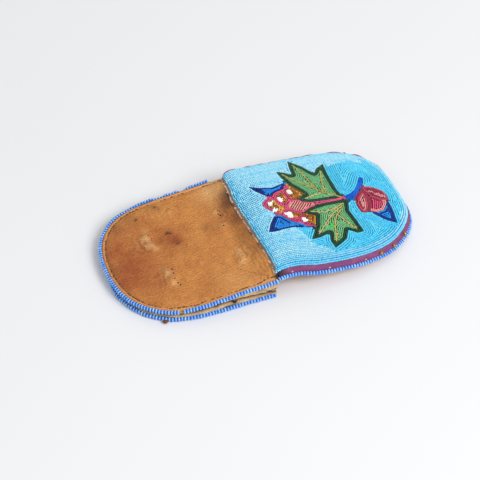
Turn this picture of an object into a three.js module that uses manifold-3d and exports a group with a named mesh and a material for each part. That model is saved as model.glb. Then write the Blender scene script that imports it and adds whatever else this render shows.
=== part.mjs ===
// Beaded belt pouch of smoked hide, lying back up with its flap opened out.
//
// The pocket is two D-shaped hides sewn along a U-shaped seam with a suede welt between them.
// The back hide runs on over the mouth as the lining of a padded flap, whose upper face is
// covered with seed beads sewn in lanes around a floral motif. Every edge has a roll of beads.
//
// Millimetres, +Z up. The origin is the middle of the pocket's resting face: X runs from the
// pocket's rounded bottom to the flap's tip, and Y runs across the pouch.
import * as THREE from "three";
import { mergeVertices } from "three/addons/utils/BufferGeometryUtils.js";
import Module from "manifold-3d";

const wasm = await Module();
wasm.setup();

// Pocket
const POCKET_LENGTH = 104; // mouth to bottom of the front hide
const FRONT_HALF_WIDTH = 55.5;
const BACK_SIDE_STEP = 1.5; // the back hide is smaller than the front one, at each side
const BACK_END_STEP = 1; // and at the bottom
const BOTTOM_DEPTH = 50; // depth of the rounded bottom
const HIDE = 1.6; // thickness of the front and back hides
const MOUTH_GAPE = 13.7; // underside of the back hide at the mouth
const BOTTOM_GAPE = 5; // underside of the back hide at the bottom of the pocket
const WELT_INSET = 3; // welt to the edge of the back hide
const WELT_WIDTH = 4;

// Flap, in its own frame: u along it from the fold, v across it, w up from its underside
const FLAP_LENGTH = 116.5;
const FLAP_SIDE_STEP = 1; // the flap is narrower than the back hide, at each side
const FLAP_TIP_DEPTH = 55; // depth of the rounded tip
const FOLD_STEP = 0.5; // the lining leaves the fold this much lower than the back hide
const LINING = 1.2;
const RIM_HEIGHT = 6.5; // top of the padding at the rim
const CROWN = 2.2; // rise of the padding from the rim to the middle
const SHOULDER = 22; // length over which the padding rises from the fold
const BASE = 1; // cloth that the beads are sewn to
const BEAD = 1.6; // height of a lane of seed beads
const RIBBON = 0.8; // cloth binding around the flap's side
const RIM_LEDGE = 0.6; // lining beyond the padding

const BACK_HALF_WIDTH = FRONT_HALF_WIDTH - BACK_SIDE_STEP;
const BACK_LENGTH = POCKET_LENGTH - BACK_END_STEP;
const FLAP_HALF_WIDTH = BACK_HALF_WIDTH - FLAP_SIDE_STEP;
const FOLD_HEIGHT = MOUTH_GAPE - FOLD_STEP; // underside of the lining at the fold

// Common
const ROLL_RADIUS = 1.5; // rolled bead edging
// Squareness of the rounded ends: 2 is an ellipse. The far side was cut squarer.
const NEAR_POWER = 2.15;
const POCKET_FAR_POWER = 2.5;
const FLAP_FAR_POWER = 3;
const CLEAR = 0.3; // between pieces that touch
const BRASS_RADIUS = 1.8;
const LEAF_BORDER = 2.2; // dark border of the leaves

const material = (color, roughness, metalness = 0) =>
  new THREE.MeshStandardMaterial({ color, roughness, metalness });

const hide = material("#b87a3c", 0.85);
const suede = material("#cfa070", 0.95);
const lining = material("#c08a52", 0.9);
const wool = material("#b9a58a", 1);
const cloth = material("#c49a7e", 0.95);
const plum = material("#6f3b70", 0.6);
const edgeBlue = material("#3f86e6", 0.25);
const paleBead = material("#8fd4f0", 0.3);
const deepBead = material("#45bfe8", 0.3);
const navy = material("#14245f", 0.25);
const midBlue = material("#2275dd", 0.25);
const darkGreen = material("#1f4229", 0.3);
const leafGreen = material("#5fae68", 0.3);
const rose = material("#d9436f", 0.3);
const darkRed = material("#9c2f49", 0.3);
const amber = material("#b06a24", 0.3);
const blush = material("#e6a9a6", 0.3);
const brass = material("#a8894e", 0.35, 1);

// The distance from the fold and the distance from the middle line along a D-shaped rim.
// turn runs from -1, one end of the fold, over the rounded end at 0, to 1.
const sign = Math.sign;
const POCKET_POWERS = [POCKET_FAR_POWER, NEAR_POWER]; // before and after the middle of the run
const FLAP_POWERS = [NEAR_POWER, FLAP_FAR_POWER];
function rimPoint(turn, halfWidth, length, endDepth, powers, start = CLEAR / 2) {
  const straight = length - endDepth;
  const side = 0.5; // share of the run that is straight, on each side
  if (Math.abs(turn) >= side) {
    const along = (1 - Math.abs(turn)) / (1 - side);
    return [start + (straight - start) * along, sign(turn) * halfWidth];
  }
  const angle = (turn / side) * (Math.PI / 2);
  const power = turn < 0 ? powers[0] : powers[1];
  const bulge = (x) => sign(x) * Math.abs(x) ** (2 / power);
  return [straight + endDepth * bulge(Math.cos(angle)), halfWidth * bulge(Math.sin(angle))];
}

// The closed outline of a D-shaped panel, anticlockwise from one corner of the fold.
function panelOutline(
  halfWidth,
  length,
  endDepth,
  powers,
  start = CLEAR / 2,
  sideSteps = 1,
  foldSteps = 1,
) {
  const points = [];
  const endSteps = 24;
  const at = (turn) => points.push(rimPoint(turn, halfWidth, length, endDepth, powers, start));
  for (let i = 0; i < sideSteps; i++) at(-1 + (0.5 * i) / sideSteps);
  for (let i = 0; i <= endSteps; i++) at(-0.5 + i / endSteps);
  for (let i = 1; i <= sideSteps; i++) at(0.5 + (0.5 * i) / sideSteps);
  for (let i = 1; i < foldSteps; i++) points.push([start, halfWidth * (1 - (2 * i) / foldSteps)]);
  return points;
}

const shapeOf = (points) => new THREE.Shape(points.map(([u, v]) => new THREE.Vector2(u, v)));

function prism(points, low, high) {
  const solid = new THREE.ExtrudeGeometry(shapeOf(points), { depth: high - low, bevelEnabled: false });
  return solid.translate(0, 0, low);
}

// A roll of edging: a round bar along the rim of a panel, just outside it.
class RimCurve extends THREE.Curve {
  constructor(halfWidth, length, endDepth, powers, height) {
    super();
    const out = CLEAR + ROLL_RADIUS;
    this.at = (turn) => rimPoint(turn, halfWidth + out, length + out, endDepth + out, powers);
    this.height = height;
  }
  getPoint(t, target = new THREE.Vector3()) {
    const [u, v] = this.at(2 * t - 1);
    return target.set(u, v, this.height);
  }
}

function roll(halfWidth, length, endDepth, powers, height) {
  const section = new THREE.Shape().absarc(0, 0, ROLL_RADIUS, 0, 2 * Math.PI);
  const extrudePath = new RimCurve(halfWidth, length, endDepth, powers, height);
  return new THREE.ExtrudeGeometry(section, { steps: 40, curveSegments: 4, extrudePath });
}

// A closed sheet between two height fields over a star-shaped outline.
function domedSheet(outline, low, high, rings = 4) {
  const n = outline.length;
  const centre = [FLAP_LENGTH * 0.45, 0];
  const position = [];
  const index = [];
  for (const height of [high, low]) {
    position.push(...centre, height(...centre));
    for (let k = 1; k <= rings; k++) {
      for (const [u, v] of outline) {
        const share = 1 - (1 - k / rings) ** 1.4; // closer rings towards the rim
        const x = centre[0] + (u - centre[0]) * share;
        const y = centre[1] + (v - centre[1]) * share;
        position.push(x, y, height(x, y));
      }
    }
  }
  const layer = 1 + rings * n;
  const at = (side, k, i) => side * layer + 1 + (k - 1) * n + (i % n);
  for (let i = 0; i < n; i++) {
    index.push(0, at(0, 1, i), at(0, 1, i + 1));
    index.push(layer, at(1, 1, i + 1), at(1, 1, i));
    for (let k = 1; k < rings; k++) {
      const top = [at(0, k, i), at(0, k + 1, i), at(0, k + 1, i + 1), at(0, k, i + 1)];
      const under = [at(1, k, i), at(1, k, i + 1), at(1, k + 1, i + 1), at(1, k + 1, i)];
      for (const [a, b, c, d] of [top, under]) index.push(a, b, c, a, c, d);
    }
    const [a, b] = [at(0, rings, i), at(0, rings, i + 1)];
    const [c, d] = [at(1, rings, i + 1), at(1, rings, i)];
    index.push(a, d, c, a, c, b);
  }
  const sheet = new THREE.BufferGeometry();
  sheet.setAttribute("position", new THREE.Float32BufferAttribute(position, 3));
  sheet.setIndex(index);
  return sheet;
}

// Solids for joining and cutting
function solidOf(geometry) {
  const bare = geometry.clone();
  bare.deleteAttribute("normal");
  bare.deleteAttribute("uv");
  const merged = mergeVertices(bare, 1e-4);
  const vertProperties = new Float32Array(merged.attributes.position.array);
  const triVerts = new Uint32Array(merged.index.array);
  return new wasm.Manifold(new wasm.Mesh({ numProp: 3, vertProperties, triVerts }));
}

function geometryOf(solid) {
  const { vertProperties, triVerts } = solid.getMesh();
  const geometry = new THREE.BufferGeometry();
  geometry.setAttribute("position", new THREE.Float32BufferAttribute(vertProperties, 3));
  geometry.setIndex([...triVerts]);
  geometry.computeVertexNormals();
  return geometry;
}

// An outline moved inwards, or outwards for a negative distance, with mitred corners.
function inset(points, distance) {
  return points.map(([u, v], i) => {
    const here = new THREE.Vector2(u, v);
    const before = new THREE.Vector2(...points.at(i - 1));
    const after = new THREE.Vector2(...points[(i + 1) % points.length]);
    const a = here.clone().sub(before).normalize();
    const b = after.clone().sub(here).normalize();
    const inA = new THREE.Vector2(-a.y, a.x);
    const inB = new THREE.Vector2(-b.y, b.x);
    const mitre = inA.add(inB).divideScalar(Math.max(0.25, 1 + inA.dot(inB)));
    return [u + mitre.x * distance, v + mitre.y * distance];
  });
}

const anticlockwise = (points) =>
  THREE.ShapeUtils.isClockWise(points.map(([u, v]) => ({ x: u, y: v }))) ? [...points].reverse() : points;

const root = new THREE.Group();
function add(parent, name, geometry, look) {
  const mesh = new THREE.Mesh(geometry, look);
  mesh.name = name;
  parent.add(mesh);
  return mesh;
}

// Pocket: s runs from the mouth to the bottom, so the group is turned half round.
const FOLD_X = POCKET_LENGTH / 2;
const pocket = new THREE.Group();
pocket.position.x = FOLD_X;
pocket.rotation.z = Math.PI;
root.add(pocket);

const frontOutline = panelOutline(FRONT_HALF_WIDTH, POCKET_LENGTH, BOTTOM_DEPTH, POCKET_POWERS);
add(pocket, "front_panel", prism(frontOutline, 0, HIDE), hide);
add(
  pocket,
  "front_edge_beads",
  roll(FRONT_HALF_WIDTH, POCKET_LENGTH, BOTTOM_DEPTH, POCKET_POWERS, ROLL_RADIUS),
  edgeBlue,
);

const slope = Math.asin((MOUTH_GAPE - BOTTOM_GAPE) / BACK_LENGTH);
const back = new THREE.Group();
back.position.z = MOUTH_GAPE;
back.rotation.y = slope;
pocket.add(back);
const backOutline = panelOutline(BACK_HALF_WIDTH, BACK_LENGTH, BOTTOM_DEPTH, POCKET_POWERS);
add(back, "back_panel", prism(backOutline, 0, HIDE), hide);
const backRoll = roll(BACK_HALF_WIDTH, BACK_LENGTH, BOTTOM_DEPTH, POCKET_POWERS, HIDE / 2);
add(back, "back_edge_beads", backRoll, edgeBlue);

// The welt fills the seam between the two hides, under the sloping back.
const weltBand = (drop) =>
  panelOutline(BACK_HALF_WIDTH - drop, BACK_LENGTH - drop, BOTTOM_DEPTH - drop, POCKET_POWERS);
const weltBottom = HIDE + CLEAR;
const weltOuter = prism(weltBand(WELT_INSET), weltBottom, MOUTH_GAPE);
const weltInner = prism(
  weltBand(WELT_INSET + WELT_WIDTH).map(([s, t]) => [s < 1 ? s - 5 : s, t]),
  weltBottom - 1,
  MOUTH_GAPE + 1,
);
const aboveBack = new THREE.BoxGeometry(3 * BACK_LENGTH, 4 * BACK_HALF_WIDTH, 40)
  .translate(0, 0, 20 - CLEAR)
  .applyMatrix4(new THREE.Matrix4().makeRotationY(slope).setPosition(0, 0, MOUTH_GAPE));
const welt = solidOf(weltOuter).subtract(solidOf(weltInner)).subtract(solidOf(aboveBack));
add(pocket, "seam_welt", geometryOf(welt), suede);

// Flap: it slopes from the fold until its tip's edging lies on the table.
const tipReach = FLAP_LENGTH + CLEAR + ROLL_RADIUS;
const firstDroop = Math.asin(FOLD_HEIGHT / tipReach);
const droop = Math.asin((FOLD_HEIGHT - ROLL_RADIUS * (1 - Math.cos(firstDroop))) / tipReach);
const flap = new THREE.Group();
flap.position.set(FOLD_X, 0, FOLD_HEIGHT);
flap.rotation.y = droop;
root.add(flap);

const flapOutline = (out, start, sideSteps, foldSteps) =>
  panelOutline(
    FLAP_HALF_WIDTH + out,
    FLAP_LENGTH + out,
    FLAP_TIP_DEPTH + out,
    FLAP_POWERS,
    start,
    sideSteps,
    foldSteps,
  );
add(flap, "flap_lining", prism(flapOutline(0), 0, LINING), lining);
const flapRoll = roll(FLAP_HALF_WIDTH, FLAP_LENGTH, FLAP_TIP_DEPTH, FLAP_POWERS, ROLL_RADIUS);
add(flap, "flap_edge_beads", flapRoll, edgeBlue);

// Height of the padding's top: a low crown that falls to the rim and to the fold.
function paddingTop(u, v) {
  const straight = FLAP_LENGTH - FLAP_TIP_DEPTH;
  const across = Math.abs(v) / FLAP_HALF_WIDTH;
  const ahead = Math.max(0, u - straight) / FLAP_TIP_DEPTH;
  const power = FLAP_POWERS[v < 0 ? 0 : 1];
  const rim = Math.min(1, (across ** power + ahead ** power) ** (1 / power));
  const fold = Math.max(0, 1 - u / SHOULDER);
  return RIM_HEIGHT + CROWN * (1 - rim ** 4) * (1 - fold ** 2);
}
const lift = (height) => (u, v) => paddingTop(u, v) + height;
const padBottom = LINING + CLEAR;
const padIn = -(RIM_LEDGE + RIBBON + CLEAR); // padding's edge from the lining's edge
const padding = domedSheet(flapOutline(padIn, 1.5, 4, 6), () => padBottom, lift(0));
add(flap, "flap_padding", padding, wool);

const ribbonTop = RIM_HEIGHT - CLEAR;
const ribbonOuter = prism(flapOutline(-RIM_LEDGE, 1.5), padBottom, ribbonTop);
const ribbonInner = prism(
  flapOutline(padIn + CLEAR, 1.5).map(([u, v]) => [u < 2 ? u - 5 : u, v]),
  padBottom - 1,
  ribbonTop + 1,
);
add(flap, "binding_ribbon", geometryOf(solidOf(ribbonOuter).subtract(solidOf(ribbonInner))), plum);

const baseLow = CLEAR;
const baseHigh = baseLow + BASE;
const base = domedSheet(flapOutline(0, 0.6, 4, 6), lift(baseLow), lift(baseHigh));
add(flap, "beadwork_base", base, cloth);

// Beadwork. The motif is drawn in millimetres on a sheet as large as the bead field,
// and stretched with the flap.
const beadLow = baseHigh + CLEAR;
const beadField = solidOf(
  domedSheet(flapOutline(RIM_LEDGE, 0.6, 4, 6), lift(beadLow), lift(beadLow + BEAD)),
);
const SHEET_LENGTH = 116.5;
const SHEET_HALF_WIDTH = 53;
const placed = (points) =>
  anticlockwise(
    points.map(([u, v]) => [(u * FLAP_LENGTH) / SHEET_LENGTH, (v * FLAP_HALF_WIDTH) / SHEET_HALF_WIDTH]),
  );

// Each outline goes from tip to notch to tip around its field.
const UPPER_LEAF = [
  [37, 41.5], [42, 39.5], [47, 35.5], [48, 43], [50, 51], [57, 43.5], [63, 33], [67.5, 38], [73.5, 41],
  [72.5, 32], [72, 22], [72, 12], [73.5, 3.5], [67, 3.5], [55, 4], [48, 4.5], [43.5, 6.5], [40, 10.5],
  [47.5, 13.5], [46.5, 16.5], [41, 25], [38, 34],
];
const LOWER_LEAF = [
  [74, 1], [74, -4], [71.5, -11], [72.5, -21.5], [73, -33.5], [68, -34], [62.5, -29.5], [58, -37.5],
  [53, -40.5], [47, -43.5], [46, -37], [48.5, -29], [41, -31.5], [34, -32], [42.5, -19], [46.5, -9.5],
  [39, -5], [45.5, -1], [56, 1],
];
const BLUE_STEM = [
  [74, 4.5], [79, 5.5], [84.5, 8.5], [88.5, 13], [92, 18.5], [94, 21], [95.5, 20], [95.5, 17.5],
  [93, 13], [89.5, 9], [85.5, 4.5], [80.5, 0], [75.5, -2.5], [74.5, 0],
];
const BUD_LEFT = [
  [87, 5], [82.5, 0.5], [79.5, -4.5], [79, -10], [79.5, -15], [83, -16.5], [86, -14.5], [88.5, -10],
  [90.5, -3.5], [91, 2.5], [90.5, 7],
];
const BUD_RIGHT = [
  [90.5, 10], [94.5, 10], [99.5, 7.5], [104, 3.5], [105.5, -2], [104.5, -7], [101, -7], [97.5, -5],
  [93, -1.5], [92, 3], [91.2, 7],
];
const BUD_HEART = [
  [91.6, 2], [94, 1], [98, -3], [103.5, -6.5], [100.5, -12], [96.5, -16.5], [90.5, -17.5], [86.5, -15],
  [89, -10], [91, -3.5],
];
const BUD_SEPAL = [
  [103, -7.5], [103.5, -13], [102.5, -20], [101.5, -25], [100.5, -31], [94.5, -27.5], [90.5, -23],
  [86.5, -17], [90.5, -17], [96, -16], [99.5, -11.5],
];
const BUD_SEPAL_FILL = [
  [91.5, -20.2], [97, -18.8], [101.2, -14.5], [100.8, -20], [99.2, -26.5], [95, -24.6],
];
const PETAL_1 = [
  [36, 25.5], [40, 27], [42, 25], [47.5, 17], [48.5, 13.5], [41, 9.5], [35, 10.5], [34.5, 15], [34, 21.5],
];
const PETAL_2 = [[25, 19.5], [29, 21.5], [35.5, 22.5], [35.5, 14.5], [35.5, 11], [30, 6], [26, 10.5], [24, 15.5]];
const PETAL_3 = [
  [15.5, 13], [19, 16], [24, 17], [26, 9.5], [29, 5.5], [26, 0.5], [23.5, -2.5], [19.5, 0.5],
  [15.5, 5.5], [14.5, 9.5],
];
const PETAL_4 = [[25.5, 0.5], [30, 2.5], [34.5, -2], [38.5, -4], [37, -8.5], [32.5, -12.5], [29, -9.5], [25.5, -4.5]];
const PETAL_5 = [[35, -8.5], [39.5, -4], [47.5, -10], [44.5, -17], [41.5, -20], [37.5, -18], [35, -14]];
const TUBE = [
  [34.5, 12], [40, 11.5], [46, 7], [51, 4.6], [51, -0.5], [44, -3], [39, -6], [34.5, -3], [26.5, -0.5],
  [25, 5], [25.5, 11.5],
];
const FILAMENT = [[50, 4.6], [62, 4], [73.5, 3.4], [73.5, 1.2], [62, 0.6], [49, 0]];
const UPPER_SEPAL = [
  [12.5, 31.5], [18.5, 28.2], [27, 26], [34.5, 28], [40, 29.5], [41, 26], [38, 24.5], [33.5, 21], [26, 18.5],
  [22.5, 17], [19, 20], [15, 25.5],
];
const UPPER_SEPAL_FILL = [
  [20.5, 25.8], [27, 24.3], [33.5, 26], [34, 24.6], [32.5, 23.3], [26, 21.9], [22.5, 19.2], [20, 22],
];
const LOWER_SEPAL = [
  [8.5, -16.5], [12, -10], [17, -3.5], [19.5, -1.5], [23, -4], [26.5, -10], [31.5, -14], [36.5, -18.5],
  [41, -21], [34.5, -19.5], [26, -17], [18.5, -17], [13, -17.5],
];
const LOWER_SEPAL_FILL = [
  [13.5, -14.8], [16.5, -8], [19.5, -4], [22, -6], [25, -11.5], [29, -15], [26, -15.3], [18.5, -15.2],
];
// Beads of the deeper lot lie around the leaves and the bud.
const DEEP_GROUND = [
  [27.5, -18], [31, -25], [32.5, -33.5], [37, -38], [41.5, -42.5], [47.5, -47], [62, -47], [76, -45.5],
  [85, -41], [94, -37.5], [102, -32.5], [107.5, -20.5], [110.5, -8], [111, 5], [109.5, 17], [106, 28], [100.5, 36],
  [93, 40], [85, 40], [77, 38], [71, 36], [60, 16], [50, -8], [38, -19],
];

// A field is its outline's part of the bead layer, clear of the fields that come before it.
const upright = (points, grow) => solidOf(prism(inset(placed(points), -grow), 0, 4 * RIM_HEIGHT + 4 * CROWN));
let taken = null;
function field(name, outline, look, fill = null, fillName = "", fillLook = look) {
  let solid = beadField.intersect(upright(outline, -CLEAR / 2));
  if (taken) solid = solid.subtract(taken);
  if (fill) {
    add(flap, fillName, geometryOf(solid.intersect(upright(fill, -CLEAR / 2))), fillLook);
    solid = solid.subtract(upright(fill, CLEAR / 2));
  }
  add(flap, name, geometryOf(solid), look);
  const kept = upright(outline, CLEAR / 2);
  taken = taken ? taken.add(kept) : kept;
}
const bladeOf = (leaf) => inset(anticlockwise(leaf), LEAF_BORDER);
field("upper_leaf_border", UPPER_LEAF, darkGreen, bladeOf(UPPER_LEAF), "upper_leaf_blade", leafGreen);
field("lower_leaf_border", LOWER_LEAF, darkGreen, bladeOf(LOWER_LEAF), "lower_leaf_blade", leafGreen);
field("blue_stem", BLUE_STEM, midBlue);
field("bud_left_petal", BUD_LEFT, darkRed);
field("bud_right_petal", BUD_RIGHT, darkRed);
field("bud_heart", BUD_HEART, rose);
field("bud_sepal_border", BUD_SEPAL, navy, BUD_SEPAL_FILL, "bud_sepal_fill", midBlue);
[PETAL_1, PETAL_2, PETAL_3, PETAL_4, PETAL_5].forEach((petal, i) =>
  field(`flower_petal_${i + 1}`, petal, amber),
);
field("flower_tube", TUBE, blush);
field("flower_filament", FILAMENT, rose);
field("upper_sepal_border", UPPER_SEPAL, navy, UPPER_SEPAL_FILL, "upper_sepal_fill", midBlue);
field("lower_sepal_border", LOWER_SEPAL, navy, LOWER_SEPAL_FILL, "lower_sepal_fill", midBlue);
field("ground_deep", DEEP_GROUND, deepBead);
add(flap, "ground_pale", geometryOf(beadField.subtract(taken)), paleBead);

// Brass beads sewn to the binding: three on one side of the tip, one on the other.
const brassHeight = 2 * ROLL_RADIUS + CLEAR + BRASS_RADIUS;
const BRASS_TURNS = [-0.41, -0.336, -0.241, 0.33];
BRASS_TURNS.forEach((turn, i) => {
  const out = CLEAR + BRASS_RADIUS - RIM_LEDGE;
  const sizes = [FLAP_HALF_WIDTH + out, FLAP_LENGTH + out, FLAP_TIP_DEPTH + out];
  const [u, v] = rimPoint(turn, ...sizes, FLAP_POWERS);
  const bead = add(flap, `brass_bead_${i + 1}`, new THREE.SphereGeometry(BRASS_RADIUS, 10, 7), brass);
  bead.position.set(u, v, brassHeight);
});

export default root;
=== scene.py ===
# %% [markdown]
# # A beaded belt pouch
# A small pouch of smoked hide lies on a table, back up, with its flap opened out. Two hides are sewn
# together round a U-shaped seam, a padded flap is covered with seed beads, and every edge is rolled in
# blue beads. This lesson puts the real surfaces on a plain CAD frame: each piece is made where the
# CAD solid lies and hides the solid that it stands for, and most pieces ride on the same body as it;
# the back hide and the stitch holes ride on no body.

# %% Load the imported frame
import math
from collections import defaultdict

import bmesh
import bpy
import numpy as np
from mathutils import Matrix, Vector, kdtree, noise


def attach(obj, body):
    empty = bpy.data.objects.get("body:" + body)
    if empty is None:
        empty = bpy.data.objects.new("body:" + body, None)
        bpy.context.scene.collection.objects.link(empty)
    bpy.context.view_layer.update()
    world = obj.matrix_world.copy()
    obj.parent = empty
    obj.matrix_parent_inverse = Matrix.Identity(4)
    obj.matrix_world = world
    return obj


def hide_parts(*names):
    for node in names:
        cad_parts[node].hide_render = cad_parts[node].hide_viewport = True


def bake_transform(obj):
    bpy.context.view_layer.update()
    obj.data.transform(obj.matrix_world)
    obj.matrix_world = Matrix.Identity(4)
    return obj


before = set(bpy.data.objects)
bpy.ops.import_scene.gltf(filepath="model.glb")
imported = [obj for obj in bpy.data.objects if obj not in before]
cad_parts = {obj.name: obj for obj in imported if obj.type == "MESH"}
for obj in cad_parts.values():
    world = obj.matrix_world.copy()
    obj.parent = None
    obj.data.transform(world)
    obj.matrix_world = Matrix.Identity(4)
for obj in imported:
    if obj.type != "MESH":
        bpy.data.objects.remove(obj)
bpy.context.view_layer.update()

MM = 0.001  # all sizes below are in millimetres, and Blender's are in metres
rng = np.random.default_rng(7)

# %% [markdown]
# ## Camera
# The photograph was taken from above the pocket's near side with a long lens. Such a lens keeps the
# far edge nearly as large as the near one, so the camera stands far off and looks a little downwards.

# %% Camera
VIEW_TURN, VIEW_RISE = math.radians(-21.62), math.radians(44.7)
VIEW_DISTANCE = 1384.64
LENS, SENSOR = 146.67, 36
VIEW_AIM = Vector((47.59, 4.74, 0))
level = math.cos(VIEW_RISE)
to_camera = Vector((math.sin(VIEW_TURN) * level, -math.cos(VIEW_TURN) * level, math.sin(VIEW_RISE)))
camera = bpy.data.objects.new("camera", bpy.data.cameras.new("camera"))
camera.data.lens, camera.data.sensor_width = LENS, SENSOR
camera.location = (VIEW_AIM + VIEW_DISTANCE * to_camera) * MM
camera.rotation_euler = (-to_camera).to_track_quat("-Z", "Y").to_euler()
bpy.context.collection.objects.link(camera)
bpy.context.scene.camera = camera
print("camera at", [round(x, 3) for x in camera.location])

# %% [markdown]
# ## Colours and nodes
# Colours are written as sRGB hex values, as a paint program shows them, and Blender mixes light in
# linear values, so one function turns the first into the second. A second function adds a node, sets
# it up and plugs in what feeds it. The others are the few kinds of node that come again and again, such
# as noise of a real size and a mix of two colours, which keeps each material to a few readable lines.


# %% Colour and node helpers
def colour(text):
    """An sRGB hex colour as linear red, green, blue and full cover."""
    parts = [int(text[i : i + 2], 16) / 255 for i in (1, 3, 5)]
    return [c / 12.92 if c <= 0.04045 else ((c + 0.055) / 1.055) ** 2.4 for c in parts] + [1.0]


def add_node(tree, kind, inputs=None, **settings):
    """Adds a node with its settings; an input is a plain value or the socket that feeds it."""
    node = tree.nodes.new(kind)
    for name, value in settings.items():
        setattr(node, name, value)
    for name, value in (inputs or {}).items():
        if isinstance(value, bpy.types.NodeSocket):
            tree.links.new(value, node.inputs[name])
        else:
            node.inputs[name].default_value = value
    return node


def new_finish(name):
    """An empty material and its tree."""
    material = bpy.data.materials.new(name)
    material.use_nodes = True
    material.node_tree.nodes.clear()
    return material, material.node_tree


def object_place(tree):
    """Places on the object, in metres."""
    return add_node(tree, "ShaderNodeTexCoord").outputs["Object"]


def noise_of(tree, size, **inputs):
    """Noise whose waves have a size in millimetres."""
    inputs |= {"Vector": object_place(tree), "Scale": 1 / (size * MM)}
    return add_node(tree, "ShaderNodeTexNoise", inputs).outputs["Fac"]


def painted(tree, name):
    """A value painted on the mesh."""
    return add_node(tree, "ShaderNodeAttribute", attribute_name=name).outputs["Fac"]


def mixed(tree, share, low, high, **settings):
    """A colour between two others, each of them a hex value or a socket."""
    low, high = (colour(end) if isinstance(end, str) else end for end in (low, high))
    inputs = {0: share, 6: low, 7: high}
    return add_node(tree, "ShaderNodeMix", inputs, data_type="RGBA", **settings).outputs[2]


def worked_out(tree, operation, *values, **settings):
    """A sum, a product or the like."""
    inputs = dict(enumerate(values))
    return add_node(tree, "ShaderNodeMath", inputs, operation=operation, **settings).outputs[0]


def ranged(tree, value, *ends):
    """A value moved from one range to another."""
    return add_node(tree, "ShaderNodeMapRange", {0: value, **dict(enumerate(ends, 1))}).outputs[0]


def close_finish(tree, tone, roughness, bump=None, other=None):
    """The shader at the end of a finish; a bump is a height, its strength and its depth in millimetres."""
    inputs = {"Base Color": tone, "Roughness": roughness, **(other or {})}
    if bump:
        height, strength, depth = bump
        relief = {"Height": height, "Strength": strength, "Distance": depth * MM}
        inputs["Normal"] = add_node(tree, "ShaderNodeBump", relief).outputs["Normal"]
    shader = add_node(tree, "ShaderNodeBsdfPrincipled", inputs)
    add_node(tree, "ShaderNodeOutputMaterial", {"Surface": shader.outputs["BSDF"]})


def plain_finish(name, size, dark, light, roughness, other=None):
    """A finish without relief that wanders between two tones."""
    material, tree = new_finish(name)
    close_finish(tree, mixed(tree, noise_of(tree, size, Detail=2.0), dark, light), roughness, None, other)
    return material


# %% [markdown]
# ## Table and light
# The pouch lies on a white table under a large soft lamp from the near right, with plain light from all
# around. The lamp and the world together light a level surface so that a colour renders about as it
# is written. The lamp is nearer to the near right corner, so the table darkens to the far left.

# %% Table and light
WORLD_LIGHT = 0.62
LAMP_PLACE = Vector((1.1, -1.55, 1.7))
LAMP_POWER, LAMP_SIZE = 44.0, 1.3

PAPER_MOTTLE = 1000 / 3  # millimetres
TABLE_REACH = 3.0  # metres

table_finish = plain_finish(
    "white_table_paper", PAPER_MOTTLE, "#edeef0", "#f1f1f3", 0.9, {"Specular IOR Level": 0.1}
)
table_mesh = bpy.data.meshes.new("table")
corners = [(x * TABLE_REACH, y * TABLE_REACH, 0) for x, y in ((-1, -1), (1, -1), (1, 1), (-1, 1))]
table_mesh.from_pydata(corners, [], [(0, 1, 2, 3)])
table = bpy.data.objects.new("table", table_mesh)
table_mesh.materials.append(table_finish)
bpy.context.collection.objects.link(table)

world = bpy.data.worlds.new("studio")
world.use_nodes = True
bpy.context.scene.world = world
tree = world.node_tree
tree.nodes.clear()
sky = add_node(tree, "ShaderNodeBackground", {"Color": colour("#ffffff"), "Strength": WORLD_LIGHT})
add_node(tree, "ShaderNodeOutputWorld", {"Surface": sky.outputs["Background"]})

lamp = bpy.data.objects.new("soft_lamp", bpy.data.lights.new("soft_lamp", "AREA"))
lamp.data.energy, lamp.data.size = LAMP_POWER, LAMP_SIZE
lamp.location = LAMP_PLACE
lamp.rotation_euler = (-LAMP_PLACE).to_track_quat("-Z", "Y").to_euler()
bpy.context.collection.objects.link(lamp)
bpy.context.scene.view_settings.view_transform = "Standard"
print("lamp", round(LAMP_PLACE.length, 2), "m from the pouch")

# %% [markdown]
# ## Where the panels lie
# The two hides and the flap are flat panels with a rounded end. The hides slope towards each other at
# the bottom of the pocket and the flap slopes down to its tip. Each panel gets its own frame, read
# from its CAD solid: a distance from the fold, a distance across and a height above its underside.

# %% Panel frames
FOLD_X = 52.0


def cad_points(name):
    """The corners of a CAD solid."""
    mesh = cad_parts[name].data
    points = np.empty(3 * len(mesh.vertices))
    mesh.vertices.foreach_get("co", points)
    return points.reshape(-1, 3) / MM


def panel_frame(name, towards):
    """Origin and axes of a flat panel: from the fold, across, and up from the underside."""
    flat = max(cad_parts[name].data.polygons, key=lambda face: face.area)
    up = np.array(flat.normal) * np.sign(flat.normal[2])
    along = towards * np.cross((0, 1, 0), up)
    low = (cad_points(name) @ up).min()
    run = (FOLD_X - low * up[0]) / along[0]
    return run * along + low * up, np.array([along, (0, 1, 0), up])


def placed(panel, points):
    """Points of a panel's frame, in the common frame."""
    origin, axes = panel
    return np.asarray(points) @ axes + origin


FLAP = panel_frame("flap_lining", 1)
BACK = panel_frame("back_panel", -1)
FRONT = panel_frame("front_panel", -1)
print("flap slopes", round(math.degrees(math.asin(-FLAP[1][0, 2])), 2), "degrees")

# %% [markdown]
# ## Rims
# Every panel ends in a rounded shape that is squarer than an ellipse, most of all on its far side. The
# same curve carries the outlines, the bead edgings, the seam and the binding, so it is written once,
# with even steps.

# %% Rim helpers
NEAR_POWER = 2.15  # squareness of the near half of a rounded end; 2 is an ellipse
BACK_SIZE = (54.0, 103.0, 50.0, 2.5)  # half width, length, depth of the rounded end, far squareness
FRONT_SIZE = (55.5, 104.0, 50.0, 2.5)
FLAP_SIZE = (53.0, 116.5, 55.0, 3.0)


def run_of(path):
    """Distance along a path at each of its points."""
    return np.concatenate(([0], np.cumsum(np.hypot(*np.diff(path, axis=0).T))))


def spots_at(path, run, at):
    """Places on a path at distances along it."""
    return np.column_stack([np.interp(at, run, axis) for axis in path.T])


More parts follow.
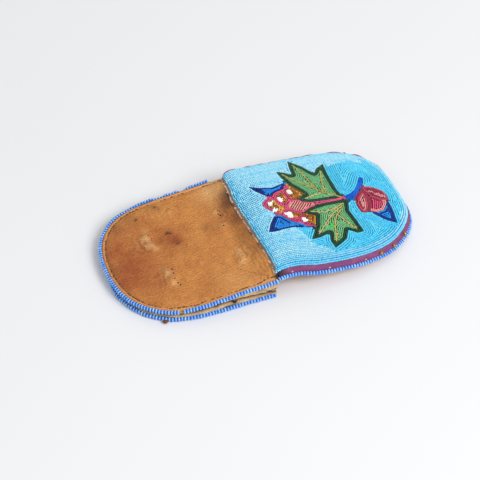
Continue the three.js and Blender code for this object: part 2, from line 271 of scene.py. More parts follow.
def evenly(path, step):
    """The same path in even steps."""
    run = run_of(path)
    return spots_at(path, run, np.linspace(0, run[-1], max(2, int(round(run[-1] / step)) + 1)))


def unit(way):
    """A direction of length 1."""
    return way / max(np.hypot(*way), 1e-6)


def turns(count):
    """Even angles all the way round."""
    return np.linspace(0, 2 * math.pi, count, endpoint=False)


def u_rim(size, out=0.0, start=0.0, step=1.0):
    """A U-shaped rim, from one corner of the fold round the end to the other corner."""
    half, length, depth = (x + out for x in size[:3])
    turn = np.linspace(-math.pi / 2, math.pi / 2, 401)
    power = 2 / np.where(turn < 0, NEAR_POWER, size[3])
    end = np.column_stack(
        (
            length - depth + depth * np.abs(np.cos(turn)) ** power,
            half * np.sign(np.sin(turn)) * np.abs(np.sin(turn)) ** power,
        )
    )
    return evenly(np.vstack(((start, -half), end, (start, half))), step)


def closed_rim(rim, step):
    """A rim closed by points along the fold, without the two corners."""
    count = int(abs(rim[-1, 1] - rim[0, 1]) / step)
    across = np.linspace(rim[-1, 1], rim[0, 1], count + 1)[1:-1]
    return np.vstack((rim, np.column_stack((np.full(len(across), rim[0, 0]), across))))


def distance_to(points, path):
    """Distance from each point to a path of straight legs."""
    best = np.full(len(points), np.inf)
    for a, b in zip(path[:-1], path[1:]):
        leg = b - a
        share = np.clip(((points - a) @ leg) / max(leg @ leg, 1e-12), 0, 1)
        gap = points - a - share[:, None] * leg
        best = np.minimum(best, np.hypot(gap[:, 0], gap[:, 1]))
    return best


def uneven(x, y, seed):
    """Smooth unevenness from about -1 to 1, with waves about one unit long."""
    return noise.noise(Vector((x, y, seed)))


def rumple(points, size, seed):
    """The same at many points, with waves of the given size."""
    return np.array([uneven(*(p / size), seed) for p in points[:, :2]])


def smooth_step(x):
    """0 below 0, 1 above 1, with a soft rise between."""
    x = np.clip(x, 0, 1)
    return x * x * (3 - 2 * x)


def blob(points, middle, radius):
    """1 at a place, falling to nothing at about twice the radius."""
    gap = points[:, :2] - np.asarray(middle)
    return np.exp(-(gap**2).sum(1) / radius**2)


def spotted(points, spots):
    """A sum of blobs: place, radius and height each."""
    return sum(height * blob(points, middle, radius) for middle, radius, height in spots)


def ridge(x, middle, width):
    """1 at a middle value, falling to nothing at about twice the width from it."""
    return np.exp(-(((x - middle) / width) ** 2))


print("rim of the back hide:", len(u_rim(BACK_SIZE)), "steps of a millimetre")

# %% [markdown]
# ## Panels as closed skins
# A hide is a sheet with an upper and a lower skin. Rings of points between the panel's middle and its
# outline give an even net that follows the rounded end, which a square grid would cut into steps.


# %% Skin helpers
def new_piece(name, points, faces, finish, attributes=None):
    """A mesh piece from points in millimetres, with its faces turned outwards."""
    mesh = bpy.data.meshes.new(name)
    mesh.from_pydata((np.asarray(points) * MM).tolist(), [], faces)
    shell = bmesh.new()
    shell.from_mesh(mesh)
    bmesh.ops.recalc_face_normals(shell, faces=shell.faces)
    shell.to_mesh(mesh)
    shell.free()
    mesh.shade_smooth()
    mesh.materials.append(finish)
    for label, values in (attributes or {}).items():
        layer = mesh.attributes.new(label, "FLOAT", "POINT")
        layer.data.foreach_set("value", np.asarray(values, dtype=np.float32))
    piece = bpy.data.objects.new(name, mesh)
    bpy.context.collection.objects.link(piece)
    print(name, len(mesh.polygons), "faces")
    return piece


def ring_net(outline, rings, squeeze=1.25):
    """Rings of points from an outline's middle, with closer rings near the outline."""
    middle = (outline.max(0) + outline.min(0)) / 2
    shares = 1 - (1 - np.arange(1, rings + 1) / rings) ** squeeze
    return np.vstack([middle] + [middle + share * (outline - middle) for share in shares])


def skin(outline, upper, lower, rings, lower_rings):
    """A closed sheet between two height functions over an outline."""
    count = len(outline)
    above, below = ring_net(outline, rings), ring_net(outline, lower_rings)
    points = np.vstack((np.column_stack((above, upper(above))), np.column_stack((below, lower(below)))))
    faces = []
    for start, layers in ((0, rings), (len(above), lower_rings)):
        for i in range(count):
            j = (i + 1) % count
            faces.append((start, start + 1 + i, start + 1 + j))
            for k in range(layers - 1):
                ring = start + 1 + k * count
                faces.append((ring + i, ring + count + i, ring + count + j, ring + j))
    top = 1 + (rings - 1) * count
    low = len(above) + 1 + (lower_rings - 1) * count
    faces += [(top + i, low + i, low + (i + 1) % count, top + (i + 1) % count) for i in range(count)]
    return points, faces


def level_at(height):
    """A flat skin."""
    return lambda points: np.full(len(points), height)


def band(sections):
    """A closed bar through a row of equal closed sections, with capped ends."""
    rows, size = len(sections), len(sections[0])
    faces = [
        (r * size + i, r * size + (i + 1) % size, (r + 1) * size + (i + 1) % size, (r + 1) * size + i)
        for r in range(rows - 1)
        for i in range(size)
    ]
    faces += [tuple(range(size)), tuple(range((rows - 1) * size, rows * size))]
    return np.vstack(sections), faces


# %% [markdown]
# ## Smoked hide
# The pocket is brain-tanned hide, smoked to a golden brown. It has no gloss, a fine pebbled grain and
# shallow creases, and it is browner where hands wore on it. It is paler on its humps, partly worn and
# partly as painted highlight, and it gets painted shade in dark brown in its creases and along the
# ramp by the fold, besides its real stains. The brown parts, stains, painted shade and pale humps have
# places of their own, so they are painted on the mesh as attributes, and the grain and mottling come
# from noise in real sizes.

# %% Smoked hide finish
GRAIN, CREASE, RIPPLE, MOTTLE = 1.2, 2.8, 1.8, 14.0  # millimetres; drawn twice as coarse as they are
smoked_hide, tree = new_finish("smoked_hide")
mottle = noise_of(tree, MOTTLE, Detail=5.0, Roughness=0.62)
spread = worked_out(tree, "MULTIPLY_ADD", mottle, 1.5, -0.72)
share = worked_out(tree, "ADD", painted(tree, "brown"), spread, use_clamp=True)
# pale for worn spots and as painted highlight on the humps; the dark stain colour for real stains and as
# painted shade in creases and along the fold
lit = mixed(tree, painted(tree, "rub_and_highlight"), mixed(tree, share, "#d28d4a", "#a65a30"), "#e4b276")
marked = mixed(tree, painted(tree, "stain_and_shade"), lit, "#443228")
grain = noise_of(tree, GRAIN, Detail=3.0)
crease = noise_of(tree, CREASE, Detail=4.0, Distortion=1.6)
waves = {"Vector": object_place(tree), "Scale": math.pi / 10 / (RIPPLE * MM), "Distortion": 15.0}
waves |= {"Detail": 3.0, "Detail Scale": 0.6, "Detail Roughness": 0.6}
ripple = add_node(tree, "ShaderNodeTexWave", waves, bands_direction="Y").outputs["Fac"]
specks = worked_out(tree, "ADD", grain, worked_out(tree, "MULTIPLY_ADD", ripple, 0.36, crease))
fibre = mixed(tree, 1.0, marked, ranged(tree, specks, 0.8, 1.56, 0.76, 1.2), blend_type="MULTIPLY")
close_finish(tree, fibre, 0.78, (specks, 0.75, 0.7), {"Specular IOR Level": 0.28})
print("finish", smoked_hide.name)

# %% [markdown]
# ## Back hide
# The back hide lies over the pocket. Its seam pulls it down just inside the edge, lost belt loops left
# puckers with holes, and towards the fold it climbs in a short ramp to the raw edge of the beadwork.
# The relief is a sum of such shapes over a net of rings, which keeps each of them easy to move.

# %% Back hide
HIDE = 1.6
SEAM_INSET, STITCH_PITCH = 2.6, 2.7
RAMP_LENGTH, RAMP_RISE = 15.0, 4.8
HIDE_WAVES = [(0.55, 24, 1.0), (0.3, 8, 2.0), (0.1, 3, 3.0)]  # height, size and seed of each unevenness
WRINKLE = 2.6  # spacing of the wrinkles beside the fold
PUCKERS = [  # distance from the fold and across, radius and height
    ((68.4, 22.0), 3.6, 2.2), ((68.6, 15.0), 3.2, 1.8), ((66.0, 9.8), 3.0, 1.2), ((62.5, 17.0), 4.2, -1.5),
    ((66.9, -15.0), 3.2, 1.5), ((66.4, -23.0), 3.8, 1.7), ((61.0, -24.0), 3.4, -1.1),
    ((15.0, -18.9), 3.2, 1.5), ((14.8, -25.5), 3.6, 1.9), ((21.0, -24.0), 4.5, -1.0),
    ((15.4, 23.5), 3.2, 1.3), ((15.5, 9.0), 3.6, 1.2), ((26.6, 15.3), 5.0, -0.9),
    ((38.0, 20.0), 16.0, -0.8), ((85.0, -8.0), 20.0, 0.8),
]  # fmt: skip
SWIRLS = [  # place, radius, spacing and height of curved wrinkles by a pucker, and the side they lie on
    ((15.5, -22.5), 9.0, 3.6, 0.34, (-0.9, 0.4)),
    ((68.5, 17.5), 9.0, 4.4, 0.34, (0.9, -0.5)),
    ((65.5, -22.0), 8.0, 4.0, 0.3, (0.6, 0.8)),
    ((14.5, 20.0), 6.0, 3.4, 0.25, (-0.5, -0.9)),
    ((45.0, 38.0), 10.0, 4.5, 0.2, (0.3, 0.9)),
]
HIDE_OUT = 0.8  # how far a hide reaches into its bead edging
FOLD_BOW = [  # across the fold, and how far it bows towards the pocket there
    (-53, 1.5), (-46, 0.5), (-38, 0.0), (-25, 0.4), (-8, 1.5), (3, 1.8), (15, 2.7), (27, 2.4), (38, 1.0),
    (53, 0.8),
]  # fmt: skip
FAR_PINCH = 2.3  # how far the far corner of the mouth is drawn in
PINCH_END, PINCH_RUN = 13, 11  # where that ends, and over what length it fades


def fold_bow(across):
    """How far the fold bows towards the pocket."""
    return np.interp(across, *np.array(FOLD_BOW).T)


def pinched(path):
    """A rim of the pocket, drawn in at the far corner of the mouth."""
    drawn = FAR_PINCH * smooth_step((PINCH_END - path[:, 0]) / PINCH_RUN) * (path[:, 1] > 0)
    return path - np.column_stack((np.zeros(len(path)), drawn))


back_rim = pinched(u_rim(BACK_SIZE, HIDE_OUT, start=0.8, step=0.9))


def swirl(points, middle, radius, spacing, side):
    """Uneven curved wrinkles on one side of a place."""
    gap = points[:, :2] - middle
    away = np.hypot(gap[:, 0], 0.7 * gap[:, 1]) + 3.2 * rumple(points, 7.0, 8.0) + rumple(points, 3.0, 9.0)
    facing = smooth_step(0.45 + (gap @ np.array(side)) / radius)
    return np.cos(2 * math.pi * away / spacing) * facing * blob(points, middle, radius)


def back_top(points):
    """Height of the back hide's upper skin over its underside."""
    depth = distance_to(points, back_rim)
    s, t = points[:, 0] - fold_bow(points[:, 1]), points[:, 1]
    relief = sum(rise * rumple(points, size, seed) for rise, size, seed in HIDE_WAVES)
    relief += spotted(points, PUCKERS)
    for middle, radius, spacing, rise, side in SWIRLS:
        relief += rise * swirl(points, middle, radius, spacing, side)
    height = HIDE + relief * smooth_step((depth - 0.5) / 6) + 0.5 * ridge(depth, 7, 3)
    height -= 0.45 * ridge(depth, SEAM_INSET, 0.8) + 0.35 * ridge(depth, 0, 0.7)
    corner = 1 - 0.75 * (np.abs(t) / BACK_SIZE[0]) ** 6
    climb = smooth_step(1 - s / (RAMP_LENGTH + 3.0 * rumple(points * (0, 1), 16, 4.0)))
    ripple = np.sin(2 * math.pi * (s + 2.5 * rumple(points, 7, 6.0)) / WRINKLE)
    ripple *= 0.16 * smooth_step((14 - s) / 5) * smooth_step(depth / 3) * (0.3 + smooth_step((-8 - t) / 10))
    return height + RAMP_RISE * corner * climb**1.25 + ripple


def back_low(points):
    """The underside, flat but for the climb to the fold."""
    return np.maximum(0.0, back_top(points) - HIDE) * smooth_step(1 - points[:, 0] / 20)


outline = closed_rim(back_rim, 0.9)
ragged = len(back_rim)
outline[ragged:, 0] += 0.9 * rumple(outline[ragged:], 3.0, 5.0) - 0.4 + fold_bow(outline[ragged:, 1])
points, faces = skin(outline, back_top, back_low, rings=64, lower_rings=10)
print("net of", len(points), "points")

# %% Wear, painted shade and painted highlights of the back hide
BROWNED = [  # place, radius and depth of each mark
    ((86, 14), 26, 0.62), ((84, -16), 22, 0.3), ((80, -32), 14, 0.15), ((94, -15), 12, 0.45),
    ((50, 11), 4, 0.5), ((55, 12), 14, 0.34), ((12, 20), 12, 0.25),
]  # fmt: skip
# real dark stains, and painted shade in the band by the fold and in the dip of a pucker
STAINS_AND_PAINTED_SHADE = [
    ((54.2, 20.2), 1.3, 0.75), ((52.6, 20.0), 1.3, 0.75), ((51.4, 18.4), 1.3, 0.6), ((50.3, 11.0), 3.2, 0.25),
    ((50.2, 7.2), 1.5, 0.75), ((69.4, 41.5), 1.3, 0.8), ((53.2, 47.4), 1.2, 0.7), ((51.2, 45.0), 1.2, 0.55),
    ((26.6, 15.3), 4.5, 0.3), ((74.0, 44.0), 6.0, 0.25), ((85.0, 37.0), 6.0, 0.25), ((56.0, 46.5), 5.0, 0.25),
    ((2.5, 34.0), 6.0, 0.6), ((4.0, 24.0), 7.0, 0.7), ((3.5, 8.0), 7.0, 0.58), ((3.0, -8.0), 7.0, 0.4),
    ((2.0, -24.0), 6.0, 0.3), ((98.0, 2.0), 5.0, 0.2),
]  # fmt: skip
# pale worn spots, and painted highlights on the humps of the puckers
RUBS_AND_PAINTED_HIGHLIGHTS = [
    ((68.0, 27.0), 2.6, 0.4), ((69.4, 20.5), 3.0, 0.75), ((68.8, 14.5), 2.8, 0.65), ((66.4, 9.5), 2.6, 0.5),
    ((67.1, -13.5), 2.6, 0.5), ((66.6, -20.0), 2.8, 0.6), ((65.2, -27.5), 2.6, 0.55),
    ((15.2, -17.5), 2.6, 0.5), ((14.6, -23.3), 2.8, 0.6), ((15.2, -29.5), 2.6, 0.5),
    ((16.0, 24.0), 2.6, 0.55), ((15.4, 9.5), 2.6, 0.35), ((41.7, -17.6), 0.9, 0.9),
    ((10.0, 44.0), 11.0, 0.75), ((22.0, -44.0), 16.0, 0.2),
]  # fmt: skip


def hide_marks(brown, stain_and_shade, rub_and_highlight):
    """Wear, painted shade and painted highlights as they are painted on a hide."""
    marks = {"brown": brown, "stain_and_shade": stain_and_shade, "rub_and_highlight": rub_and_highlight}
    return {name: np.clip(values, 0, 1) for name, values in marks.items()}


net = points[:, :2]
# browner towards the fold, most on its far side, as painted shade of the ramp
by_fold = smooth_step(1 - net[:, 0] / 14) * smooth_step((net[:, 1] + 50) / 40)
brown = 0.14 + spotted(net, BROWNED) + 0.2 * by_fold
stain_and_shade, rub_and_highlight = spotted(net, STAINS_AND_PAINTED_SHADE), spotted(net, RUBS_AND_PAINTED_HIGHLIGHTS)
# painted highlights on the ridges of the wrinkles and painted shade in their troughs
for middle, radius, spacing, rise, side in SWIRLS:
    wrinkles = 1.4 * rise * swirl(net, middle, radius, spacing, side)
    rub_and_highlight += np.clip(wrinkles, 0, 1)
    stain_and_shade += 0.6 * np.clip(-wrinkles, 0, 1)
rub_and_highlight += 0.55 * ridge(distance_to(net, back_rim), 1.6, 0.7)
# painted shade in a dark band along the fold, under the edge of the beadwork
stain_and_shade += 0.5 * ridge(net[:, 0], fold_bow(net[:, 1]), 1.3) * (rumple(net, 5.0, 7.0) + 0.7)
marks = hide_marks(brown, stain_and_shade, rub_and_highlight)
back_hide = new_piece("back_hide", placed(BACK, points), faces, smoked_hide, marks)
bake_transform(back_hide)
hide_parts("back_panel")

# %% [markdown]
# ## Front hide and flap lining
# The front hide lies on the table and the lining is the underside of the flap. Both are the same soft
# hide, flatter because they are stretched, so they are the same kind of skin with less relief.


# %% Front hide and lining
def plain_marks(net, seed):
    """Even wear for a hide that has no marks of its own."""
    brown = 0.3 + 0.35 * rumple(net, 30, seed)
    stain_and_shade = 0.5 * smooth_step(rumple(net, 11, seed + 1) * 2.4 - 1.1)
    rub_and_highlight = 0.4 * smooth_step(rumple(net, 17, seed + 2) * 2)
    return hide_marks(brown, stain_and_shade, rub_and_highlight)


front_rim = u_rim(FRONT_SIZE, start=2.2, step=1.1)


def front_low(points):
    """The front hide's outer face, a little drawn in at its seam."""
    depth = distance_to(points, front_rim)
    return 0.28 * (1 + rumple(points, 15, 11.0)) * smooth_step(depth / 8) + 0.35 * ridge(depth, 6, 1.2)


outline = closed_rim(front_rim, 1.1)
points, faces = skin(outline, level_at(HIDE), front_low, rings=10, lower_rings=44)
marks = plain_marks(points[:, :2], 20.0)
front_hide = new_piece("front_hide", placed(FRONT, points), faces, smoked_hide, marks)
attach(front_hide, "pouch")
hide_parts("front_panel")

SWAY = [  # how far the near side bulges out at a distance from the fold
    (-30, 0.3), (0, 0.3), (5, -1.2), (10, -1.6), (15, -1.8), (20, -1.1), (25, 0.4), (32, 1.3), (45, 1.9),
    (53, 1.9), (58, 1.5), (65, 0.9), (74, 0.2), (84, 0.0), (125, 0.0),
]  # fmt: skip
TIP_BULGE = (112.0, -19.0)  # where the tip bulges out
FAR_CORNER = (3.2, 9.0)  # how far the far corner is drawn in, and over what length
sway_at = np.arange(-30, 126, 1.0)
sway_by = np.convolve(np.interp(sway_at, *np.array(SWAY).T), np.ones(7) / 7, "same")


def swayed(path, back=1):
    """A path or points with the bulges of the rim, or without them when back is -1."""
    moved = np.array(path, dtype=float)
    near = np.clip(-moved[:, 1] / FLAP_SIZE[0], 0, 1.1)
    moved[:, 1] -= back * near * np.interp(moved[:, 0], sway_at, sway_by)
    far = np.clip(moved[:, 1] / FLAP_SIZE[0], 0, 1.1)
    moved[:, 1] -= back * far * FAR_CORNER[0] * np.clip(1 - moved[:, 0] / FAR_CORNER[1], 0, 1) ** 2
    return moved + back * 1.8 * blob(moved, TIP_BULGE, 17)[:, None] * (0.95, -0.33)


def flap_rim(out=0.0, start=0.0, step=1.0):
    """The flap's rim as it bulges, moved out by a distance."""
    return evenly(swayed(u_rim(FLAP_SIZE, out, start, step)), step)


LINING = 1.2
lining_rim = flap_rim(HIDE_OUT, start=0.2, step=1.1)


def lining_low(points):
    """The flap's underside: soft waves that die out at the bound edge."""
    wave = 0.3 * (1 + rumple(points, 17, 31.0)) + 0.1 * (1 + rumple(points, 5, 32.0))
    return wave * smooth_step(distance_to(points, lining_rim) / 7) * smooth_step(points[:, 0] / 6)


outline = closed_rim(lining_rim, 1.1)
points, faces = skin(outline, level_at(LINING), lining_low, rings=8, lower_rings=44)
marks = plain_marks(points[:, :2], 40.0)
lining = new_piece("flap_lining_hide", placed(FLAP, points), faces, smoked_hide, marks)
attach(lining, "flap")
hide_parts("flap_lining")

# %% [markdown]
# ## Suede welt
# A strip of pale suede lies in the seam between the two hides. It is folded double, so its outer side
# shows a soft upper roll, a dark groove and a thin lower lip, and it bulges and wrinkles towards the
# mouth. It is a bar swept along the seam, whose section is drawn row by row.

# %% Suede welt
suede, tree = new_finish("pale_suede")  # brushed flesh side of hide: matt, pale, with a short nap
tan = mixed(tree, noise_of(tree, 6.0, Detail=4.0), "#b0804c", "#ecd2aa")
# painted shade in dark brown in the groove, the gathers and the creases, and the dark knot
retinted = mixed(tree, painted(tree, "groove"), tan, "#3c2418")
nap = noise_of(tree, 1.6, Detail=3.0, Distortion=2.5)
tone = mixed(tree, 1.0, retinted, ranged(tree, nap, 0.35, 0.62, 0.62, 1.12), blend_type="MULTIPLY")
close_finish(tree, tone, 0.95, (nap, 0.6, 0.4), {"Specular IOR Level": 0.15, "Sheen Weight": 0.25})

WELT_INSET, WELT_WIDTH, WELT_ROWS = -0.4, 7.0, 25
BACK_SLOPE = BACK[1][0, 2] / BACK[1][0, 0]
welt_path = pinched(u_rim(BACK_SIZE, -WELT_INSET, start=1.2))
welt_inner = pinched(u_rim(BACK_SIZE, -WELT_INSET - WELT_WIDTH, start=1.2))
KNOT = 32.0  # distance from the fold of a dark knot in the near side of the seam


def along_u(path):
    """Unit directions along a path and outwards from it."""
    lane = np.gradient(path, axis=0)
    lane /= np.hypot(*lane.T)[:, None]
    return lane, np.column_stack((lane[:, 1], -lane[:, 0]))


def welt_sections():
    """Sections of the welt, from one side of the mouth to the other, and how dark each point is, as painted
    shade in the groove, the gathers and the creases, and as the dark knot.
    """
    out = along_u(welt_path)[1]
    share = np.linspace(0, 1, WELT_ROWS)
    sections, shade_and_knot = [], []
    for i, ((s, t), across) in enumerate(zip(welt_path, out)):
        top = BACK[0][2] - BACK_SLOPE * s - 0.15
        low = HIDE + 0.1
        mouth = smooth_step(1 - s / 45)
        corner = smooth_step(1 - s / 20)
        crease = np.array([uneven(i * 0.2 + r * 1.5, r * 3.2, 50.0) for r in share])
        split = 0.6 - 0.27 * mouth + 0.09 * uneven(i * 0.07, 0.0, 51.0)
        upper = np.clip((share - split) / (1 - split), 0, 1)
        lower = np.clip(share / split, 0, 1)
        roll = (0.4 + 1.5 * mouth) * np.sin(math.pi * upper) ** 0.6
        lip = (0.9 + 0.3 * mouth) * np.sin(math.pi * lower) ** 0.6
        groove = ridge(share, split, 0.09)
        fan = 3.4 * (share - 0.05 * s * (share - split)) + 0.5 * uneven(i * 0.2, 0.5, 52.0)
        gather = corner * np.cos(2 * math.pi * fan) * np.sin(math.pi * share)
        knot = ridge(s, KNOT, 1.5) * (t < 0) * ridge(share, split, 0.25)
        push = roll + lip - 2.2 * groove * (1 - knot) + crease * (0.6 + 0.5 * mouth) + 0.7 * gather + knot
        ring = [(s + across[0] * p, t + across[1] * p, low + (top - low) * r) for p, r in zip(push, share)]
        j = int(round(i * (len(welt_inner) - 1) / (len(welt_path) - 1)))
        a, b = welt_inner[j]
        ring += [(a, b, top), (a, b, low)]
        sections.append(np.array(ring))
        # painted shade in the groove, in the hollows of the gathers and in the creases; the knot is dark
        # itself
        dark = 1.2 * groove + 0.8 * np.clip(-gather, 0, 1) + 1.2 * np.clip(-crease - 0.15, 0, 1) + 1.5 * knot
        shade_and_knot += [*np.clip(dark, 0, 1), 0, 0]
    return sections, shade_and_knot


sections, shade_and_knot = welt_sections()
points, faces = band(sections)
welt = new_piece("seam_welt_suede", placed(FRONT, points), faces, suede, {"groove": shade_and_knot})
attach(welt, "pouch")
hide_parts("seam_welt")

# %% [markdown]
# ## Flap padding and bead cloth
# The flap is stuffed, so its upper side is a low dome that falls to the rim and to the fold. A cloth is
# stretched over the padding, and the beads are sewn to the cloth. One function gives the height of
# that dome, and the padding, the cloth and every bead use it. The shape is known, so no simulation is
# needed: the stretched cloth simply is the dome.

# %% Dome of the flap
RIM_HEIGHT, CROWN, SHOULDER, FAR_RISE = 6.5, 2.2, 22.0, 0.7
CLOTH_LOW, CLOTH_TOP = 0.3, 1.3
RIM_ROUND, FOLD_ROUND = 2.2, 2.6  # radii of the beadwork's edge at the rim and at the fold
OUTER_RIM = flap_rim(start=-25.0)


def rim_share(points):
    """0 in the middle of the flap, 1 at its rim."""
    half, length, depth, far_power = FLAP_SIZE
    flat = swayed(points, -1)
    power = np.where(flat[:, 1] < 0, NEAR_POWER, far_power)
    across = np.abs(flat[:, 1]) / half
    ahead = np.maximum(0, flat[:, 0] - (length - depth)) / depth
    return (across**power + ahead**power) ** (1 / power)


def rim_inset(v):
    """From the flap's edge in to the beadwork's, more on the near side than on the far side."""
    return 0.85 - 1.35 * np.clip(v / 30, -1, 1)


def rim_depth(points):
    """Distance inside the rim of the beadwork, negative outside it."""
    gap = distance_to(points, OUTER_RIM) * np.where(rim_share(points) <= 1, 1, -1)
    return gap - rim_inset(points[:, 1])


def bead_rim(out, start, step):
    """The rim of the beadwork, moved out by a distance."""
    path = flap_rim(0, start, step)
    return path + (out - rim_inset(path[:, 1]))[:, None] * along_u(path)[1]


def farness(v):
    """0 on the near half of the flap, 1 along its far side."""
    return smooth_step((v - 5) / 35)


def round_over(gap, radius):
    """Drop of a rounded edge at a distance from it."""
    off = np.clip(1 - gap / radius, 0, 0.97)
    return radius * (1 - np.sqrt(1 - off**2))


def dome(points):
    """Height of the padding's top, rounded over at the rim and at the fold."""
    rim = np.minimum(1, rim_share(points))
    fold = np.clip(1 - points[:, 0] / SHOULDER, 0, 1)
    far = farness(points[:, 1])
    rise = FAR_RISE * smooth_step((points[:, 0] - 5) / 45) * smooth_step((112 - points[:, 0]) / 25)
    drop = round_over(rim_depth(points) + 0.4, RIM_ROUND - 1.2 * far) - rise * far * rim**2
    drop += round_over(points[:, 0] + 0.3, FOLD_ROUND)
    drop += 1.3 * np.clip((9 - points[:, 0]) / 9, 0, 1.1) ** 2
    lumpy = 0.25 * rumple(points, 21, 60.0)
    return RIM_HEIGHT + CROWN * (1 - rim**4) * (1 - fold**2) - drop + lumpy


def on_flap(points):
    """Points of the beadwork in the common frame, drawn towards the pocket where the fold bows."""
    moved = np.array(points, dtype=float)
    moved[:, 0] -= fold_bow(moved[:, 1]) * np.clip(1 - moved[:, 0] / SHOULDER, 0, 1.1)
    return placed(FLAP, moved)


print("dome from", dome(np.array([[1.0, 50.0]]))[0].round(2), "to", dome(np.array([[55.0, 0.0]]))[0].round(2))

# %% Padding
wool, tree = new_finish("wool_wadding")  # carded wool: matt, pale and lumpy
lumps = noise_of(tree, 2.5, Detail=6.0)
close_finish(tree, mixed(tree, lumps, "#8f7657", "#cbb795"), 1.0, (lumps, 0.6, 0.6))

pad_rim = closed_rim(bead_rim(-0.3, start=0.4, step=2.0), 2.0)
points, faces = skin(pad_rim, lambda p: dome(p) - 0.1, level_at(LINING + 0.25), rings=16, lower_rings=4)
padding = new_piece("flap_wadding", on_flap(points), faces, wool)
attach(padding, "flap")
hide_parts("flap_padding")

# %% [markdown]
# ## Reading the drawing
# The floral drawing is already in the CAD model: every field of beads is a thin solid on the flap. The
# rim of a solid's upper side is the outline of its field. It is found by keeping the edges that belong
# to one upper face only and joining them end to end.


# %% Outlines of the bead fields
def field_outlines(name):
    """Closed outlines of a bead field on the flap, the longest first."""
    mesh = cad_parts[name].data
    local = (cad_points(name) - FLAP[0]) @ FLAP[1].T
    up = FLAP[1][2]
    used = defaultdict(int)
    for face in mesh.polygons:
        if np.dot(face.normal, up) > 0.6:
            ring = [tuple(local[i].round(3)) for i in face.vertices]
            for a, b in zip(ring, ring[1:] + ring[:1]):
                used[(a, b)] += 1
    edges = {a: b for a, b in used if (b, a) not in used}
    outlines = []
    while edges:
        first, here = edges.popitem()
        ring = [first]
        while here != first and here in edges:
            ring.append(here)
            here = edges.pop(here)
        if len(ring) > 2:
            outlines.append(np.array(ring)[:, :2])
    return sorted(outlines, key=lambda ring: -np.ptp(ring, axis=0).max())


def inside(points, outlines):
    """Whether each point lies within the outlines."""
    odd = np.zeros(len(points), dtype=bool)
    for ring in outlines:
        for a, b in zip(ring, np.roll(ring, -1, axis=0)):
            if a[1] != b[1]:
                crosses = (a[1] > points[:, 1]) != (b[1] > points[:, 1])
                at = a[0] + (points[:, 1] - a[1]) / (b[1] - a[1]) * (b[0] - a[0])
                odd ^= crosses & (points[:, 0] < at)
    return odd


def closed(ring):
    """A ring that ends where it starts."""
    return np.vstack((ring, ring[:1]))


FIELD_WORDS = ("leaf", "stem", "bud_", "flower_", "sepal", "ground")
FIELD_NAMES = [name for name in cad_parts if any(word in name for word in FIELD_WORDS)]
drawing = {name: field_outlines(name) for name in FIELD_NAMES}
MOTIF = [name for name in FIELD_NAMES if not name.startswith("ground")]
print({name: [len(ring) for ring in rings] for name, rings in drawing.items()})

# %% [markdown]
# ## Bead cloth
# The cloth under the beads is only seen between the lanes and as a raw edge along the fold. Between
# the lanes it is blue under the ground, as painted reflection of the beads, and dark under the motif,
# as painted shade. Its outline runs out past the first beads along the fold, unevenly, as a cut edge does.

# %% Bead cloth
bead_cloth, tree = new_finish("bead_cloth")  # plain woven cotton, tan where light faded it at the cut edge
threads = noise_of(tree, 0.7, Detail=4.0)
raw = mixed(tree, threads, "#7c5540", "#e2bda6")
# painted light between the beads: blue painted reflection under the ground, dark painted shade under the
# motif
gap_light_and_shade = mixed(tree, painted(tree, "shade_under_motif"), "#2f95b8", "#2a1c20")
close_finish(tree, mixed(tree, painted(tree, "raw_edge"), gap_light_and_shade, raw), 0.95, (threads, 0.7, 0.4))

cloth_rim = bead_rim(0.2, start=-1.1, step=0.8)
outline = closed_rim(cloth_rim, 0.5)
cut_edge = outline[len(cloth_rim) :]
cut_edge[:, 0] += 0.9 * rumple(cut_edge, 2.2, 70.0) + 0.5 * rumple(cut_edge, 0.9, 71.0)
points, faces = skin(
    outline, lambda p: dome(p) + CLOTH_TOP, lambda p: dome(p) + CLOTH_LOW, rings=70, lower_rings=12
)
SHADE_OUT = 0.35  # how far the painted shade runs out past the drawing
flat = points[:, :2]
motif_rings = [drawing[name][0] for name in MOTIF]
shade_under_motif = [inside(flat, [ring]) | (distance_to(flat, closed(ring)) < SHADE_OUT) for ring in motif_rings]
attributes = {"raw_edge": smooth_step((1.4 - flat[:, 0]) / 0.8), "shade_under_motif": np.any(shade_under_motif, axis=0)}
cloth = new_piece("beadwork_cloth", on_flap(points), faces, bead_cloth, attributes)
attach(cloth, "flap")
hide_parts("beadwork_base")

# %% Raw edge along the fold
# The cut edge was turned under and whipped down, so it lies along the fold as a row of uneven lumps.
raw_finish, tree = new_finish("raw_cloth_edge")  # undyed cotton, tan and pinkish, with painted shade in brown between its lumps
fibres = noise_of(tree, 0.9, Detail=5.0)
lint = mixed(tree, fibres, "#9c7454", "#f0d6c0")
close_finish(tree, mixed(tree, painted(tree, "valley"), lint, "#6b3c20"), 0.95, (fibres, 0.8, 0.5))

